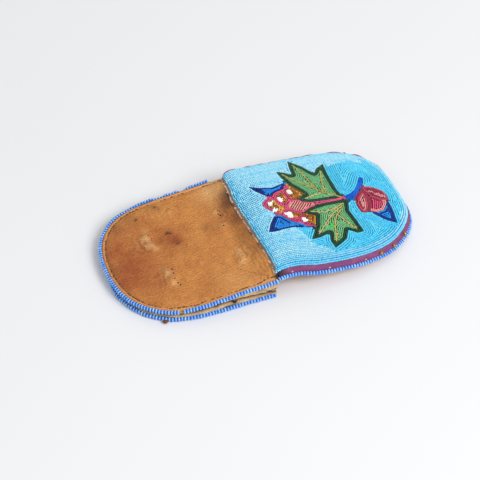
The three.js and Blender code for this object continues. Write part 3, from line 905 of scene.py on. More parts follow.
LUMPS, ROLL_SIDES = 44, 8
ROLL_HALF, ROLL_STEPS = 50.7, 340  # half its length, and how finely it is cut
across = np.linspace(-ROLL_HALF, ROLL_HALF, ROLL_STEPS)
lump_at = np.cumsum(rng.uniform(0.8, 4.6, LUMPS)) - 53
lump_half, lump_tall = rng.uniform(0.7, 3.6, LUMPS), rng.uniform(0.2, 1.0, LUMPS)
humps = [
    tall * np.sqrt(np.clip(1 - ((across - at) / half) ** 2, 0, 1))
    for at, half, tall in zip(lump_at, lump_half, lump_tall)
]
lump = np.max(humps, axis=0)
line = np.column_stack((np.full(len(across), -0.9), across))
line[:, 0] += 0.8 * rumple(line, 6.0, 75.0) + 0.6 * rumple(line, 1.7, 76.0)
seat = dome(line * (0, 1) + (0.3, 0)) + 0.9
sections = []
for (u, v), height, size in zip(line, seat, 0.35 + 0.75 * lump):
    rough = [size * (1 + 0.25 * uneven(v * 1.1, k * 0.9, 77.0)) for k in range(ROLL_SIDES)]
    around = zip(rough, turns(ROLL_SIDES))
    sections.append([(u - r * math.cos(a), v, height + 0.9 * r * math.sin(a)) for r, a in around])
points, faces = band(sections)
# painted shade, darker where the lumps are low
valley = np.repeat((1 - lump) ** 2, ROLL_SIDES)
raw_roll = new_piece("raw_cloth_edge", on_flap(points), faces, raw_finish, {"valley": valley})
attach(raw_roll, "flap")

# %% [markdown]
# ## Plum ribbon
# A silk ribbon binds the side of the flap between the lining and the beadwork. It is woven in fine
# crosswise ribs, faded along its edges, and slightly puckered by its stitches. It is swept round the
# rim as a thin bar whose outer side bulges.

# %% Plum ribbon
RIB = 1.1  # millimetres; drawn twice as coarse as it is, so that it shows
plum, tree = new_finish("plum_silk_ribbon")
ribs_at = add_node(tree, "ShaderNodeCombineXYZ", {0: painted(tree, "run"), 1: painted(tree, "height")})
waves = {"Vector": ribs_at.outputs[0], "Scale": 2 * math.pi / 20 / RIB, "Distortion": 1.2, "Detail": 2.0}
ribs = add_node(tree, "ShaderNodeTexWave", waves).outputs["Fac"]
tone = mixed(tree, noise_of(tree, 7.0, Detail=5.0), "#581a50", "#92407c")
retinted = mixed(tree, painted(tree, "faded"), tone, "#a8668e")
# darker towards the fold on the near side
darker_by_fold = mixed(tree, painted(tree, "near_fold_dark"), retinted, "#2a0f30")
close_finish(tree, darker_by_fold, 0.6, (ribs, 0.6, 0.3), {"Sheen Weight": 0.08})

RIBBON_ROWS, RIBBON_STEP = 12, 0.9
ribbon_path = flap_rim(start=0.9, step=RIBBON_STEP)
ribbon_out = along_u(ribbon_path)[1]
inset = rim_inset(ribbon_path[:, 1])
far = farness(ribbon_path[:, 1])
lip = 1.5 + 1.6 * rumple(ribbon_path, 9.0, 81.0)  # on the far side the ribbon stands up behind the beads
rim_top = dome(ribbon_path + (0.2 - inset)[:, None] * ribbon_out) + CLOTH_LOW + 0.6 + far * lip
share = np.linspace(0, 1, RIBBON_ROWS)
puff = np.interp(share, (0, 0.15, 0.5, 0.8, 0.93, 1), (0.3, 0.9, 1.5, 1.2, 0.3, 0.5))
sections, run_along, run_up, run_faded, run_dark = [], [], [], [], []
for i, ((u, v), out) in enumerate(zip(ribbon_path, ribbon_out)):
    low, top = LINING + 0.15, rim_top[i]
    folds = np.array([uneven(i * 0.17, r * 1.6, 80.0) for r in share])
    push = puff + 0.35 * folds * np.sin(math.pi * share)
    push += np.clip((share - 0.5) / 0.5, 0, 1) ** 2 * ((1 - far[i]) * -inset[i] + far[i] * 0.9)
    ring = [*zip(push, share), (0.6 * far[i] - 0.4 - inset[i], 0.95), (-0.8, 0.03)]  # outer side, inner side
    sections.append(np.array([(u + out[0] * p, v + out[1] * p, low + (top - low) * r) for p, r in ring]))
    run_along += [RIBBON_STEP * i] * (RIBBON_ROWS + 2)
    run_up += [*((top - low) * share), top, low]
    wear = 0.4 * (np.abs(share - 0.5) * 2) ** 5 + 0.35 * smooth_step(folds * 2 - 0.3)
    run_faded += [*np.maximum(wear, far[i] * share), 0, 0]
    # darker towards the fold on the near side
    run_dark += [float(smooth_step(1 - u / 13) * (v < 0))] * (RIBBON_ROWS + 2)
points, faces = band(sections)
ribbon = new_piece(
    "plum_binding",
    placed(FLAP, points),
    faces,
    plum,
    {"run": run_along, "height": run_up, "faded": np.clip(run_faded, 0, 1), "near_fold_dark": run_dark},
)
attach(ribbon, "flap")
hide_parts("binding_ribbon")

# %% [markdown]
# ## Sewing beads with Geometry Nodes
# A seed bead is a short cut of drawn glass tube with its ends melted round. Thousands of them are
# sewn here, so one node tree makes the bead, sets a copy on every marked place with its hole along the
# thread, varies the sizes a little and turns the copies into plain mesh. The places are a mesh of
# points that carry the thread's direction, the way the bead faces and the bead's own shade.

# %% Bead tree
SEWING_INPUTS = {
    "Places": "Geometry", "Length": "Float", "Width": "Float", "Spread": "Float", "Seed": "Int",
    "Finish": "Material",
}  # fmt: skip


def direction(tree, name):
    """A direction that is stored with each place."""
    stored = add_node(tree, "GeometryNodeInputNamedAttribute", {"Name": name}, data_type="FLOAT_VECTOR")
    return stored.outputs[0]


def bead_shape(tree, sides=6, end=0.42):
    """A barrel, one unit long and wide, with its hole along Z."""
    size = {"Vertices": sides, "Side Segments": 3, "Radius": 0.5, "Depth": 1.0}
    tube = add_node(tree, "GeometryNodeMeshCylinder", size, fill_type="NGON").outputs["Mesh"]
    spot = add_node(tree, "GeometryNodeInputPosition").outputs[0]
    axis = add_node(tree, "ShaderNodeSeparateXYZ", {0: spot})
    far = worked_out(tree, "MULTIPLY", worked_out(tree, "ABSOLUTE", axis.outputs[2]), 2.0)
    girth = worked_out(tree, "MULTIPLY_ADD", worked_out(tree, "POWER", far, 2.5), -end, 1.0)
    squeeze = add_node(tree, "ShaderNodeCombineXYZ", {0: girth, 1: girth, 2: 1.0})
    moved = add_node(tree, "ShaderNodeVectorMath", {0: spot, 1: squeeze.outputs[0]}, operation="MULTIPLY")
    barrel = add_node(tree, "GeometryNodeSetPosition", {"Geometry": tube, "Position": moved.outputs[0]})
    return add_node(tree, "GeometryNodeSetShadeSmooth", {0: barrel.outputs[0]}).outputs[0]


def sewing_tree(name, **shape):
    """Sets a bead on every place, with its hole along the thread."""
    tree = bpy.data.node_groups.new(name, "GeometryNodeTree")
    sockets = {}
    for label, kind in SEWING_INPUTS.items():
        socket = tree.interface.new_socket(label, in_out="INPUT", socket_type="NodeSocket" + kind)
        sockets[label] = socket.identifier
    tree.interface.new_socket("Beads", in_out="OUTPUT", socket_type="NodeSocketGeometry")
    given = add_node(tree, "NodeGroupInput").outputs
    ends = {2: -1.0, 3: 1.0, "Seed": given["Seed"]}
    vary = add_node(tree, "FunctionNodeRandomValue", ends, data_type="FLOAT")
    grow = worked_out(tree, "MULTIPLY_ADD", vary.outputs[1], given["Spread"], 1.0)
    size = add_node(tree, "ShaderNodeCombineXYZ", {0: given["Width"], 1: given["Width"], 2: given["Length"]})
    scale = add_node(tree, "ShaderNodeVectorMath", {0: size.outputs[0], "Scale": grow}, operation="SCALE")
    ways = {0: direction(tree, "thread"), 1: direction(tree, "face")}
    turn = add_node(tree, "FunctionNodeAxesToRotation", ways, primary_axis="Z", secondary_axis="X")
    parts = {"Points": given["Places"], "Instance": bead_shape(tree, **shape)}
    parts |= {"Rotation": turn.outputs[0], "Scale": scale.outputs[0]}
    copies = add_node(tree, "GeometryNodeInstanceOnPoints", parts)
    plain = add_node(tree, "GeometryNodeRealizeInstances", {0: copies.outputs[0]})
    done = add_node(tree, "GeometryNodeSetMaterial", {0: plain.outputs[0], "Material": given["Finish"]})
    add_node(tree, "NodeGroupOutput", {0: done.outputs[0]})
    return tree, sockets


seed_bead_tree = sewing_tree("sew_seed_beads")
edge_bead_tree = sewing_tree("sew_edge_beads", sides=8, end=0.4)
print("bead trees:", seed_bead_tree[0].name, edge_bead_tree[0].name)


# %% Turning places into a plain mesh piece
def sew(name, tree_and_sockets, places, finish, length, width, spread=0.06, seed=3):
    """Beads on places: point, thread direction, facing direction and shade, as rows of numbers."""
    tree, sockets = tree_and_sockets
    places = np.asarray(places, dtype=np.float32)
    mesh = bpy.data.meshes.new(name)
    mesh.from_pydata((places[:, :3] * MM).tolist(), [], [])
    for label, columns in (("thread", slice(3, 6)), ("face", slice(6, 9))):
        layer = mesh.attributes.new(label, "FLOAT_VECTOR", "POINT")
        layer.data.foreach_set("vector", places[:, columns].ravel())
    layer = mesh.attributes.new("shade", "FLOAT", "POINT")
    layer.data.foreach_set("value", places[:, 9].copy())
    piece = bpy.data.objects.new(name, mesh)
    bpy.context.collection.objects.link(piece)
    modifier = piece.modifiers.new("sewing", "NODES")
    modifier.node_group = tree
    given = {"Length": length * MM, "Width": width * MM, "Spread": spread, "Seed": seed, "Finish": finish}
    for label, value in given.items():
        modifier[sockets[label]] = value
    bpy.context.view_layer.update()
    done = bpy.data.meshes.new_from_object(piece.evaluated_get(bpy.context.evaluated_depsgraph_get()))
    piece.modifiers.clear()
    piece.data = done
    for label in ("thread", "face"):
        if label in done.attributes:
            done.attributes.remove(done.attributes[label])
    print(name, len(places), "beads,", len(done.polygons), "faces")
    return piece


# %% [markdown]
# ## Bead glass
# The beads are opaque glass, which is smooth and glossy with a small bright highlight. A lot of beads
# from one melt still varies from bead to bead, so each colour is a mix of a darker and a lighter glass
# by the bead's shade, which also carries painted shade on the near rim and by the fold, and a little
# of the light goes into the glass before it comes back.


# %% Bead glass
GLASS_ROUGHNESS = (0.2, 0.4)  # clean and smeared


def bead_glass(name, dark, light):
    """Opaque glass of one lot, from its darkest to its lightest bead."""
    material, tree = new_finish(name)
    tone = mixed(tree, painted(tree, "shade"), dark, light)
    dull = ranged(tree, noise_of(tree, 0.8, Detail=2.0), 0.3, 0.7, *GLASS_ROUGHNESS)
    close_finish(tree, tone, dull, None, {"IOR": 1.52, "Specular IOR Level": 0.3})
    return material


edge_blue = bead_glass("cornflower_glass", "#529ff8", "#b0e0ff")
print("finish", edge_blue.name)

# %% [markdown]
# ## Rolled bead edging
# Every edge is wrapped: the thread brings three beads over the edge at a time, so each turn of the
# thread is a little rib of beads across the edge. A dark blue core under the beads shows between the
# ribs as painted shade. The turns follow the rim, and the rim waves a little because the thread pulls
# the hide. At one place a turn is lost, and by the far corner of the mouth the edging has come away.

# %% Rolled bead edging
EDGE_PITCH, WRAP_RADIUS, CORE_RADIUS = 2.17, 0.92, 1.15
EDGE_BEAD_LENGTH, EDGE_BEAD_WIDTH = 1.3, 1.42
ROLL_OUT = 1.6  # from the panel's edge to the middle of the roll
WRAP_TURNS = [math.radians(x) for x in (108, 38, -32)]
EDGE_WAVE = 0.45  # how far the pull of the thread moves the edge

# dark blue core under the edging beads, painted shade in the gaps between the ribs
edging_gap_shade = plain_finish("blue_sewing_thread", 0.6, "#0a46ae", "#1c6adc", 0.8)


def edging(name, panel, rim, middle, seed, lost):
    """Bead places round a panel, in turns of three wrapped over the edge, and a dark core inside them as
    painted shade.
    """
    lane, out = along_u(rim)
    middle = np.broadcast_to(middle, len(rim))
    up = np.array((0, 0, 1))
    places, sections, runs = [], [], []
    for i, (spot, way, side) in enumerate(zip(rim, lane, out)):
        push = EDGE_WAVE * uneven(i * 0.16, seed, 0) + 0.1 * rng.normal()
        lift = EDGE_WAVE * uneven(i * 0.13, seed, 9) + 0.06 * rng.normal()
        lean, tone = 0.1 * rng.normal(), 0.5 + 0.14 * rng.normal()
        if any(low < i / (len(rim) - 1) < high for low, high in lost):
            runs, sections = runs + [sections], []
            continue
        outward = np.array((*(side + lean * way), 0))
        centre = np.array((*(spot + push * side), middle[i] + max(lift, -0.25)))
        ring = [centre + CORE_RADIUS * (math.cos(a) * outward + math.sin(a) * up) for a in turns(ROLL_SIDES)]
        sections.append(placed(panel, ring))
        for turn in WRAP_TURNS:
            radial = math.cos(turn) * outward + math.sin(turn) * up
            along = -math.sin(turn) * outward + math.cos(turn) * up
            shade = np.clip(tone + 0.16 * rng.normal(), 0, 1)
            bead = placed(panel, centre + WRAP_RADIUS * radial)
            places.append((*bead, *(along @ panel[1]), *(radial @ panel[1]), shade))
    points, faces = [], []
    for run in runs + [sections]:
        if len(run) > 1:
            bar, skins = band(run)
            faces += [tuple(i + len(points) for i in face) for face in skins]
            points += bar.tolist()
    core = new_piece(name + "_thread", points, faces, edging_gap_shade)
    beads = sew(name, edge_bead_tree, places, edge_blue, EDGE_BEAD_LENGTH, EDGE_BEAD_WIDTH, seed=int(seed))
    return beads, core


FAR_WAVE = [  # distance from the fold, how far the far edging waves out there, and how far it sags
    (0, -1.5, 0), (4, -0.5, 0), (9, 0.8, 0), (14, 0.7, 0), (22, 0.3, 0), (25, 0.0, 0.3), (28, -0.8, 1.8),
    (31, -0.6, 1.6), (33.5, 0.9, 0.4), (37.5, 0.4, 0.9), (40.5, 1.0, 0.1), (44.5, 0.3, 1.1), (49, 0.3, 1.1),
    (53, 1.0, 0.1), (58, 0.4, 0), (66, 0, 0), (110, 0, 0),
]  # fmt: skip
back_roll = u_rim(BACK_SIZE, ROLL_OUT, start=0.9, step=EDGE_PITCH)
wave_at, wave_out, wave_sag = np.array(FAR_WAVE).T
far_side = back_roll[:, 1] > 0
back_sag = np.where(far_side, np.interp(back_roll[:, 0], wave_at, wave_sag), 0)
back_roll[:, 1] += np.where(far_side, np.interp(back_roll[:, 0], wave_at, wave_out), 0)
FRONT_WAVE = [  # share of the front edging, and how far it waves out there
    (0, 0.2), (0.1, 0.3), (0.2, 0.1), (0.25, -0.1), (0.3, 0.4), (0.38, 0.9), (0.44, 0.7), (0.5, -0.8),
    (1, 0.2),
]  # fmt: skip
front_roll = u_rim(FRONT_SIZE, start=2.5, step=EDGE_PITCH)
front_out = np.interp(np.linspace(0, 1, len(front_roll)), *np.array(FRONT_WAVE).T)
front_roll += front_out[:, None] * along_u(front_roll)[1]

flap_roll = flap_rim(ROLL_OUT, start=0.9, step=EDGE_PITCH)
back_lost, front_lost = [(0.249, 0.2555), (0.972, 1.1)], [(0.985, 1.1)]  # shares of the edging
EDGINGS = (  # name, panel, rim, height of its middle, seed, body, CAD solid and lost turns
    ("back_edging", BACK, back_roll, HIDE / 2 - back_sag, 1.0, "pouch", "back_edge_beads", back_lost),
    ("front_edging", FRONT, front_roll, 1.75, 4.0, "pouch", "front_edge_beads", front_lost),
    ("flap_edging", FLAP, flap_roll, 1.6, 8.0, "flap", "flap_edge_beads", []),
)
for name, panel, rim, middle, seed, body, node, lost in EDGINGS:
    beads, core = edging(name, panel, rim, middle, seed, lost)
    for piece in (beads, core):
        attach(piece, body)
    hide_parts(node)

# %% [markdown]
# ## Lanes
# Beadwork of this kind is sewn in lanes: a string of beads is laid along an outline and caught down
# every few beads, the next string is laid beside it, and so on until the field is full. Lines of equal
# distance from an outline are exactly such lanes. The distance is worked out on a fine grid, and the
# lines are then followed from grid square to grid square.

# %% Distance grid and lanes
GRID = 0.4
GRID_U, GRID_V = np.arange(-2, 122, GRID), np.arange(-58, 58, GRID)
grid_points = np.array([(u, v) for u in GRID_U for v in GRID_V])


def depth_grid(outlines):
    """Distance inside outlines on the grid, negative outside."""
    reach = np.vstack(outlines)
    near = np.all((grid_points > reach.min(0) - 3) & (grid_points < reach.max(0) + 3), axis=1)
    spots = grid_points[near]
    gap = np.min([distance_to(spots, closed(ring)) for ring in outlines], axis=0)
    depth = np.full(len(grid_points), -9.0)
    depth[near] = np.where(inside(spots, outlines), gap, -gap)
    return depth.reshape(len(GRID_U), len(GRID_V))


def at_grid(values, u, v):
    """A grid value at a place."""
    i = int(np.clip(round((u - GRID_U[0]) / GRID), 0, len(GRID_U) - 1))
    j = int(np.clip(round((v - GRID_V[0]) / GRID), 0, len(GRID_V) - 1))
    return values[i, j]


def lanes_at(height, level):
    """Lines on the grid where the height has the given level."""
    above = height > level
    cells = above[:-1, :-1].astype(int) + above[1:, :-1] + above[1:, 1:] + above[:-1, 1:]
    joined = defaultdict(list)
    for i, j in zip(*np.nonzero((cells > 0) & (cells < 4))):
        corners = [(i, j), (i + 1, j), (i + 1, j + 1), (i, j + 1)]
        cuts = [
            (min(a, b), max(a, b)) for a, b in zip(corners, corners[1:] + corners[:1]) if above[a] != above[b]
        ]
        for a, b in zip(cuts[::2], cuts[1::2]):
            joined[a].append(b)
            joined[b].append(a)
    spot = {}
    for a, b in joined:
        share = (level - height[a]) / (height[b] - height[a])
        spot[(a, b)] = (
            GRID_U[0] + GRID * (a[0] + share * (b[0] - a[0])),
            GRID_V[0] + GRID * (a[1] + share * (b[1] - a[1])),
        )
    lines = []
    ends = [cut for cut, others in joined.items() if len(others) == 1]
    left = set(joined)
    for first in ends + list(joined):
        if first not in left:
            continue
        line, here = [], first
        while here is not None:
            left.discard(here)
            line.append(spot[here])
            here = next((cut for cut in joined[here] if cut in left), None)
        if len(joined[first]) == 2 and len(line) > 3:
            line.append(line[0])
        lines.append(np.array(line))
    return lines


print("grid of", len(GRID_U), "by", len(GRID_V), "points")

# %% [markdown]
# ## Bead lots
# Beads of one colour were bought as a lot. Each lot becomes one piece in the end. A bead is only sewn
# where there is still room for it, so the lanes that are sewn first, such as leaf veins, keep their
# line and the later ones stop beside them.

# %% Bead lots
LANE, BEAD_STEP, ROOM = 1.6, 1.22, 1.04  # between lanes, along a lane, and the closest two beads may be
FINE_LANE, FINE = 1.36, (1.1, 0.92)  # the same for the finer beads of the motif
VEIN_BEADS, TIP_BEADS = (0.98, 0.8), (1.05, 0.8)  # along a lane and closest, in leaf veins and white tips
LOTS = {  # slot in the record, darkest and lightest glass, bead width and length
    "pale_turquoise": ("pale_beads", "#5acdfa", "#c6f6ff", 1.48, 1.2),
    "deep_turquoise": ("deep_beads", "#1fc4fa", "#78eaff", 1.44, 1.2),
    "forest_green": ("dark_green_beads", "#10301f", "#3a6a50", 1.12, 1.08),
    "leaf_green": ("green_beads", "#50b470", "#9adaa2", 1.06, 1.06),
    "straw": ("green_beads", "#b8a444", "#ecdf92", 1.0, 0.98),
    "bright_green": ("green_beads", "#35c85a", "#6fe07e", 1.16, 1.08),
    "cobalt": ("mid_blue_beads", "#0450c4", "#127ef0", 1.14, 1.08),
    "sky_blue": ("mid_blue_beads", "#0480f6", "#38b0ff", 1.12, 1.08),
    "navy": ("navy_beads", "#02206c", "#12409c", 1.34, 1.1),
    "dark_red": ("dark_red_beads", "#92203e", "#c24a66", 1.04, 1.04),
    "crimson": ("dark_red_beads", "#c4405e", "#ea7088", 1.04, 1.04),
    "rose": ("rose_beads", "#e43a70", "#ff74a0", 1.02, 1.04),
    "blush": ("blush_beads", "#e68c90", "#ffb6b6", 1.04, 1.04),
    "salmon": ("blush_beads", "#ee8c88", "#ffbeb4", 1.1, 1.04),
    "white": ("amber_beads", "#fafafa", "#ffffff", 1.35, 1.2),
    "brown": ("amber_beads", "#955018", "#d48c3e", 1.06, 1.04),
    "amber": ("amber_beads", "#e69c2a", "#ffd068", 1.1, 1.06),
}
sewn = {lot: [] for lot in LOTS}
room_map = defaultdict(list)


def has_room(u, v, room):
    """Whether no sewn bead is nearer than the given distance."""
    i, j = int(u // 2), int(v // 2)
    return all(
        (u - a) ** 2 + (v - b) ** 2 >= room * room
        for x in (i - 1, i, i + 1)
        for y in (j - 1, j, j + 1)
        for a, b in room_map[(x, y)]
    )


def sew_bead(lot, u, v, way, shade, room=ROOM):
    """Notes one bead, if there is room for it."""
    if not has_room(u, v, room):
        return
    room_map[(int(u // 2), int(v // 2))].append((u, v))
    sewn[lot].append((u, v, way[0], way[1], shade))


def sew_lane(line, pick, step=BEAD_STEP, room=ROOM):
    """Sews beads along a line; pick is their lot, or gives the lot of a place, or None."""
    run = run_of(line)
    if run[-1] < 0.5:
        return
    count = max(1, int(round(run[-1] / step)))
    at = (np.arange(count) + rng.uniform(0.3, 0.7)) * run[-1] / count
    ways = spots_at(line, run, at + 0.5) - spots_at(line, run, at - 0.5)
    tone = 0.5 + 0.1 * rng.normal()
    for (u, v), way in zip(spots_at(line, run, at), ways):
        lot = pick(u, v) if callable(pick) else pick
        if lot:
            sew_bead(lot, u, v, unit(way), float(np.clip(tone + 0.11 * rng.normal(), 0, 1)), room)


def sew_field(outlines, pick, pitch=FINE_LANE):
    """Fills a field with fine lanes, from its outline inwards; pick also gets the lane's number."""
    depth = depth_grid(outlines)
    for lane, level in enumerate(np.arange(0.48 * pitch, depth.max(), pitch)):
        for line in lanes_at(depth, level):
            sew_lane(line, lambda u, v: pick(lane, u, v), *FINE)


def sew_tips(ring, lot, look=2.6, sharp=75, reach=5.0):
    """Sews a short row into every sharp corner of an outline, where lanes would not reach."""
    path = evenly(closed(ring), 0.4)[:-1]
    count, off = len(path), int(look / 0.4)
    back, ahead = np.roll(path, off, axis=0) - path, np.roll(path, -off, axis=0) - path
    cosine = (back * ahead).sum(1) / (np.hypot(*back.T) * np.hypot(*ahead.T))
    for i in range(count):
        around = np.take(cosine, np.arange(i - off, i + off + 1), mode="wrap")
        way = unit(back[i] + ahead[i])
        inner = path[i] + 1.5 * way
        if cosine[i] == around.max() > math.cos(math.radians(sharp)) and inside(inner[None], [ring])[0]:
            line = np.array((path[i] + 0.3 * way, path[i] + reach * way))
            sew_lane(evenly(line, 0.4), lot, *FINE)


def sew_rows(outlines, way, pick, first, pitch=FINE_LANE):
    """Fills what lies deeper than a distance inside outlines with straight rows along a direction."""
    depth = depth_grid(outlines)
    way = np.array(way) / np.hypot(*way)
    side = np.array((way[1], -way[0]))
    reach = outlines[0] @ side
    middle = outlines[0].mean(0) @ way
    for at in np.arange(reach.min(), reach.max(), pitch):
        line = middle * way + at * side + np.linspace(-30, 30, 121)[:, None] * way
        sew_lane(line, lambda u, v: pick if at_grid(depth, u, v) > first else None, *FINE)


def depth_of(names, rings=None):
    """Distance inside any of some fields; with one ring each, their holes count as filled."""
    return np.max([depth_grid(drawing[name][:rings]) for name in names], axis=0)


def on_stroke(u, v, strokes):
    """Whether a place lies on one of some thick strokes: two ends and half a width each."""
    spot = np.array([(u, v)])
    return any(distance_to(spot, np.array((a, b)))[0] < half for a, b, half in strokes)


print(len(LOTS), "lots of beads")

# %% [markdown]
# ## Leaves, flower and bud
# The motif is sewn first. A leaf has two dark rows, straw-coloured veins and green lanes between them.
# A petal has one or two rose rows around a white tip and brown arcs, the bud has red rings around
# pale hearts, and the sepals have navy rows around a brighter blue.

# %% Leaves
UPPER_VEINS = [
    [(72, 3.9), (63.3, 10.9), (57.3, 16.9), (52, 22.9), (45.2, 30.9), (40, 38)],
    [(57.3, 17.5), (56.1, 26.9), (54.3, 37.5), (51.6, 46)],
    [(63.3, 12), (65, 23.4), (68.4, 33.5)],
    [(60.5, 11.6), (52.8, 11), (46, 9.2)],
]
LOWER_VEINS = [
    [(71, -2.4), (63.3, -6), (56.2, -7.8), (50.5, -7.2), (44.5, -4.6)],
    [(68.5, -5.2), (60.4, -9.9), (52.8, -16.6), (41, -28)],
    [(66.5, -8), (60.1, -14.2), (55.5, -22.7), (50, -38)],
    [(62, -13), (65, -21), (69, -29.5)],
]
for vein in UPPER_VEINS + LOWER_VEINS:
    sew_lane(evenly(np.array(vein), 0.5), "straw", *VEIN_BEADS)


def leaf_lot(lane, u, v):
    """Dark rows around green ones, with one small lot of brighter beads."""
    if lane < 2:
        return "forest_green"
    return "bright_green" if (u - 52.4) ** 2 + (v + 23) ** 2 < 5 else "leaf_green"


for leaf in ("upper_leaf_border", "lower_leaf_border"):
    sew_tips(drawing[leaf][0], "forest_green", reach=3.5)
    sew_field(drawing[leaf][:1], leaf_lot)
print("leaves:", {lot: len(sewn[lot]) for lot in ("forest_green", "leaf_green", "straw")})

# %% Bud and stem
LEFT_HEART = [((87.0, -1.4), (85.3, -11.0), 2.6)]
RIGHT_HEART = [((94.4, 4.4), (96.9, 2.8), 0.9), ((98.0, 0.9), (102.8, -3.2), 1.5)]
LIP = [
    ((102.0, -7.4), (100.6, -12.7), 2.6),
    ((100.6, -12.7), (94.4, -18.1), 2.6),
    ((94.4, -18.1), (87.4, -15.5), 2.6),
]
ROW_WAY = (0.37, 0.93)  # direction of the rose rows in the bud's heart
sew_field(drawing["blue_stem"], lambda lane, u, v: "cobalt")


def left_petal_lot(lane, u, v):
    """Red rings around a pale, striped heart."""
    if on_stroke(u, v, LEFT_HEART) and lane > 1:
        return "salmon" if lane == 3 else "blush"
    return ("dark_red", "crimson", "dark_red")[min(lane, 2)]


def right_petal_lot(lane, u, v):
    """Red rings around a pale streak."""
    if on_stroke(u, v, RIGHT_HEART):
        return "blush"
    return "crimson" if lane == 0 else "dark_red"


def heart_lot(lane, u, v):
    """Two pale rows along the open side, and one red row along the others."""
    if on_stroke(u, v, LIP) and lane < 2:
        return ("salmon", "blush")[lane]
    return "dark_red" if lane == 0 else None


BUD_LANE = 1.24  # the smallest beads are in the bud
sew_field(drawing["bud_left_petal"], left_petal_lot, BUD_LANE)
sew_field(drawing["bud_right_petal"], right_petal_lot, BUD_LANE)
sew_field(drawing["bud_heart"], heart_lot, BUD_LANE)
sew_rows(drawing["bud_heart"], ROW_WAY, "rose", 1.3)

NAVY_ROWS = 2
BRIGHT_SIDES = {  # the side that comes out from under petals has no navy rows
    "bud_sepal": [(86.5, -17.0), (90.5, -17.0), (96.0, -16.0), (99.5, -11.5), (103.0, -7.5)],
    "upper_sepal": [(38.0, 24.5), (40.0, 29.5)],
    "lower_sepal": [(19.5, -1.5), (23.0, -4.0), (26.5, -10.0), (31.5, -14.0), (36.5, -18.5)],
}


def sepal_lot(name, lane, u, v):
    """Navy rows along the outline, except on the side under the petals."""
    bright = distance_to(np.array([(u, v)]), np.array(BRIGHT_SIDES[name]))[0] < 1.8
    single = {"upper_sepal": u > 20, "lower_sepal": u > 15 and v < -12}.get(name, False)
    return "sky_blue" if bright or lane >= (1 if single else NAVY_ROWS) else "navy"


for name in BRIGHT_SIDES:
    sew_tips(drawing[name + "_border"][0], "navy")
    sew_field(drawing[name + "_border"][:1], lambda lane, u, v: sepal_lot(name, lane, u, v))
print("bud and sepals:", {lot: len(sewn[lot]) for lot in ("dark_red", "blush", "cobalt", "navy", "sky_blue")})

# %% Flower
WHITE_TIPS = [  # two ends of each white tip and half its width
    ((37.7, 20.9), (37.8, 16.0), 1.7),
    ((27.7, 15.4), (28.5, 10.2), 1.3),
    ((20.4, 12.2), (19.2, 8.4), 1.5),
    ((19.2, 3.9), (21.7, 2.2), 1.3),
    ((28.6, -0.8), (28.8, -7.2), 2.1),
    ((36.6, -9.3), (37.0, -13.8), 1.5),
]
AMBER_ENDS = [((45.4, -11.7), (42.2, -17.3), 1.1)]
THREADED = {  # single strings laid over the petal that faces the fold
    "amber": [
        [(23.1, 13.2), (23.8, 9.3), (24.8, 6.2), (27.2, 4.5)],
        [(27.0, 5.1), (24.1, -0.1)],
        [(24.8, 6.2), (22.8, -0.4)],
    ],
    "brown": [[(19.0, 6.7), (24.1, 6.9)]],
}
TUBE_WAY = (0.7, 0.72)  # direction of the pale rows in the flower's tube
TUBE_PITCH = 1.6
outside_depth = depth_of([name for name in FIELD_NAMES if "ground" in name or "sepal" in name])
leaf_depth = depth_of(["upper_leaf_border", "lower_leaf_border"], 1)
for lot, lines in THREADED.items():
    for line in lines:
        sew_lane(evenly(np.array(line), 0.5), lot, *FINE)
for a, b, half in WHITE_TIPS:
    way = np.subtract(b, a)
    side = np.array((way[1], -way[0])) / np.hypot(*way)
    for off in np.linspace(-1, 1, max(2, int(round(2 * half)))) * (half - 0.5):
        drawn_in = 0.5 - 0.5 * math.sqrt(1 - (off / (half + 0.4)) ** 2)
        row = np.array((a + drawn_in * way, b - drawn_in * way)) + off * side
        sew_lane(evenly(row, 0.4), "white", *TIP_BEADS)


def petal_lot(lane, u, v):
    """Rose rows outside, two of them where the flower ends; inside, a white tip and brown arcs."""
    by_leaf = at_grid(leaf_depth, u, v) > -1.8
    ends_here = at_grid(outside_depth, u, v) > -2.7
    if (lane == 0 and not by_leaf) or (lane == 1 and ends_here):
        return "rose"
    return "amber" if on_stroke(u, v, AMBER_ENDS) or rng.uniform() < 0.2 else "brown"


for i in range(1, 6):
    sew_field(drawing[f"flower_petal_{i}"][:1], petal_lot)
sew_field(drawing["flower_tube"][:1], lambda lane, u, v: "rose" if lane == 0 else None)
sew_rows(drawing["flower_tube"][:1], TUBE_WAY, "salmon", 1.2, TUBE_PITCH)
sew_field(drawing["flower_filament"][:1], lambda lane, u, v: "rose")
print("flower:", {lot: len(sewn[lot]) for lot in ("rose", "white", "brown", "amber", "salmon")})

# %% Seams between the fields of the motif
# A row of beads is sewn along the middle of every narrow gap between two fields.
MIDDLE_LOTS = [
    ("bud", "dark_red"), ("flower", "rose"), ("leaf", "forest_green"), ("stem", "cobalt"),
    ("sepal", "sky_blue"),
]  # fmt: skip
whole_fields = [name for name in MOTIF if not name.endswith(("_fill", "_blade"))]
field_depth = {name: depth_grid(drawing[name][:1]) for name in whole_fields}
between = np.sort(list(field_depth.values()), axis=0)[-2] > -1.5
for word, lot in MIDDLE_LOTS:
    for name, depth in field_depth.items():
        if word not in name or (word == "bud" and "sepal" in name):
            continue
        others = np.max([field_depth[other] for other in field_depth if other != name], axis=0)
        narrow = between & (np.maximum(depth, others) < -0.15)
        for line in lanes_at(depth - others, 0.0):
            sew_lane(line, lambda u, v: lot if at_grid(narrow, u, v) else None, *FINE)
print("narrow gaps on", int(between.sum()), "grid points")

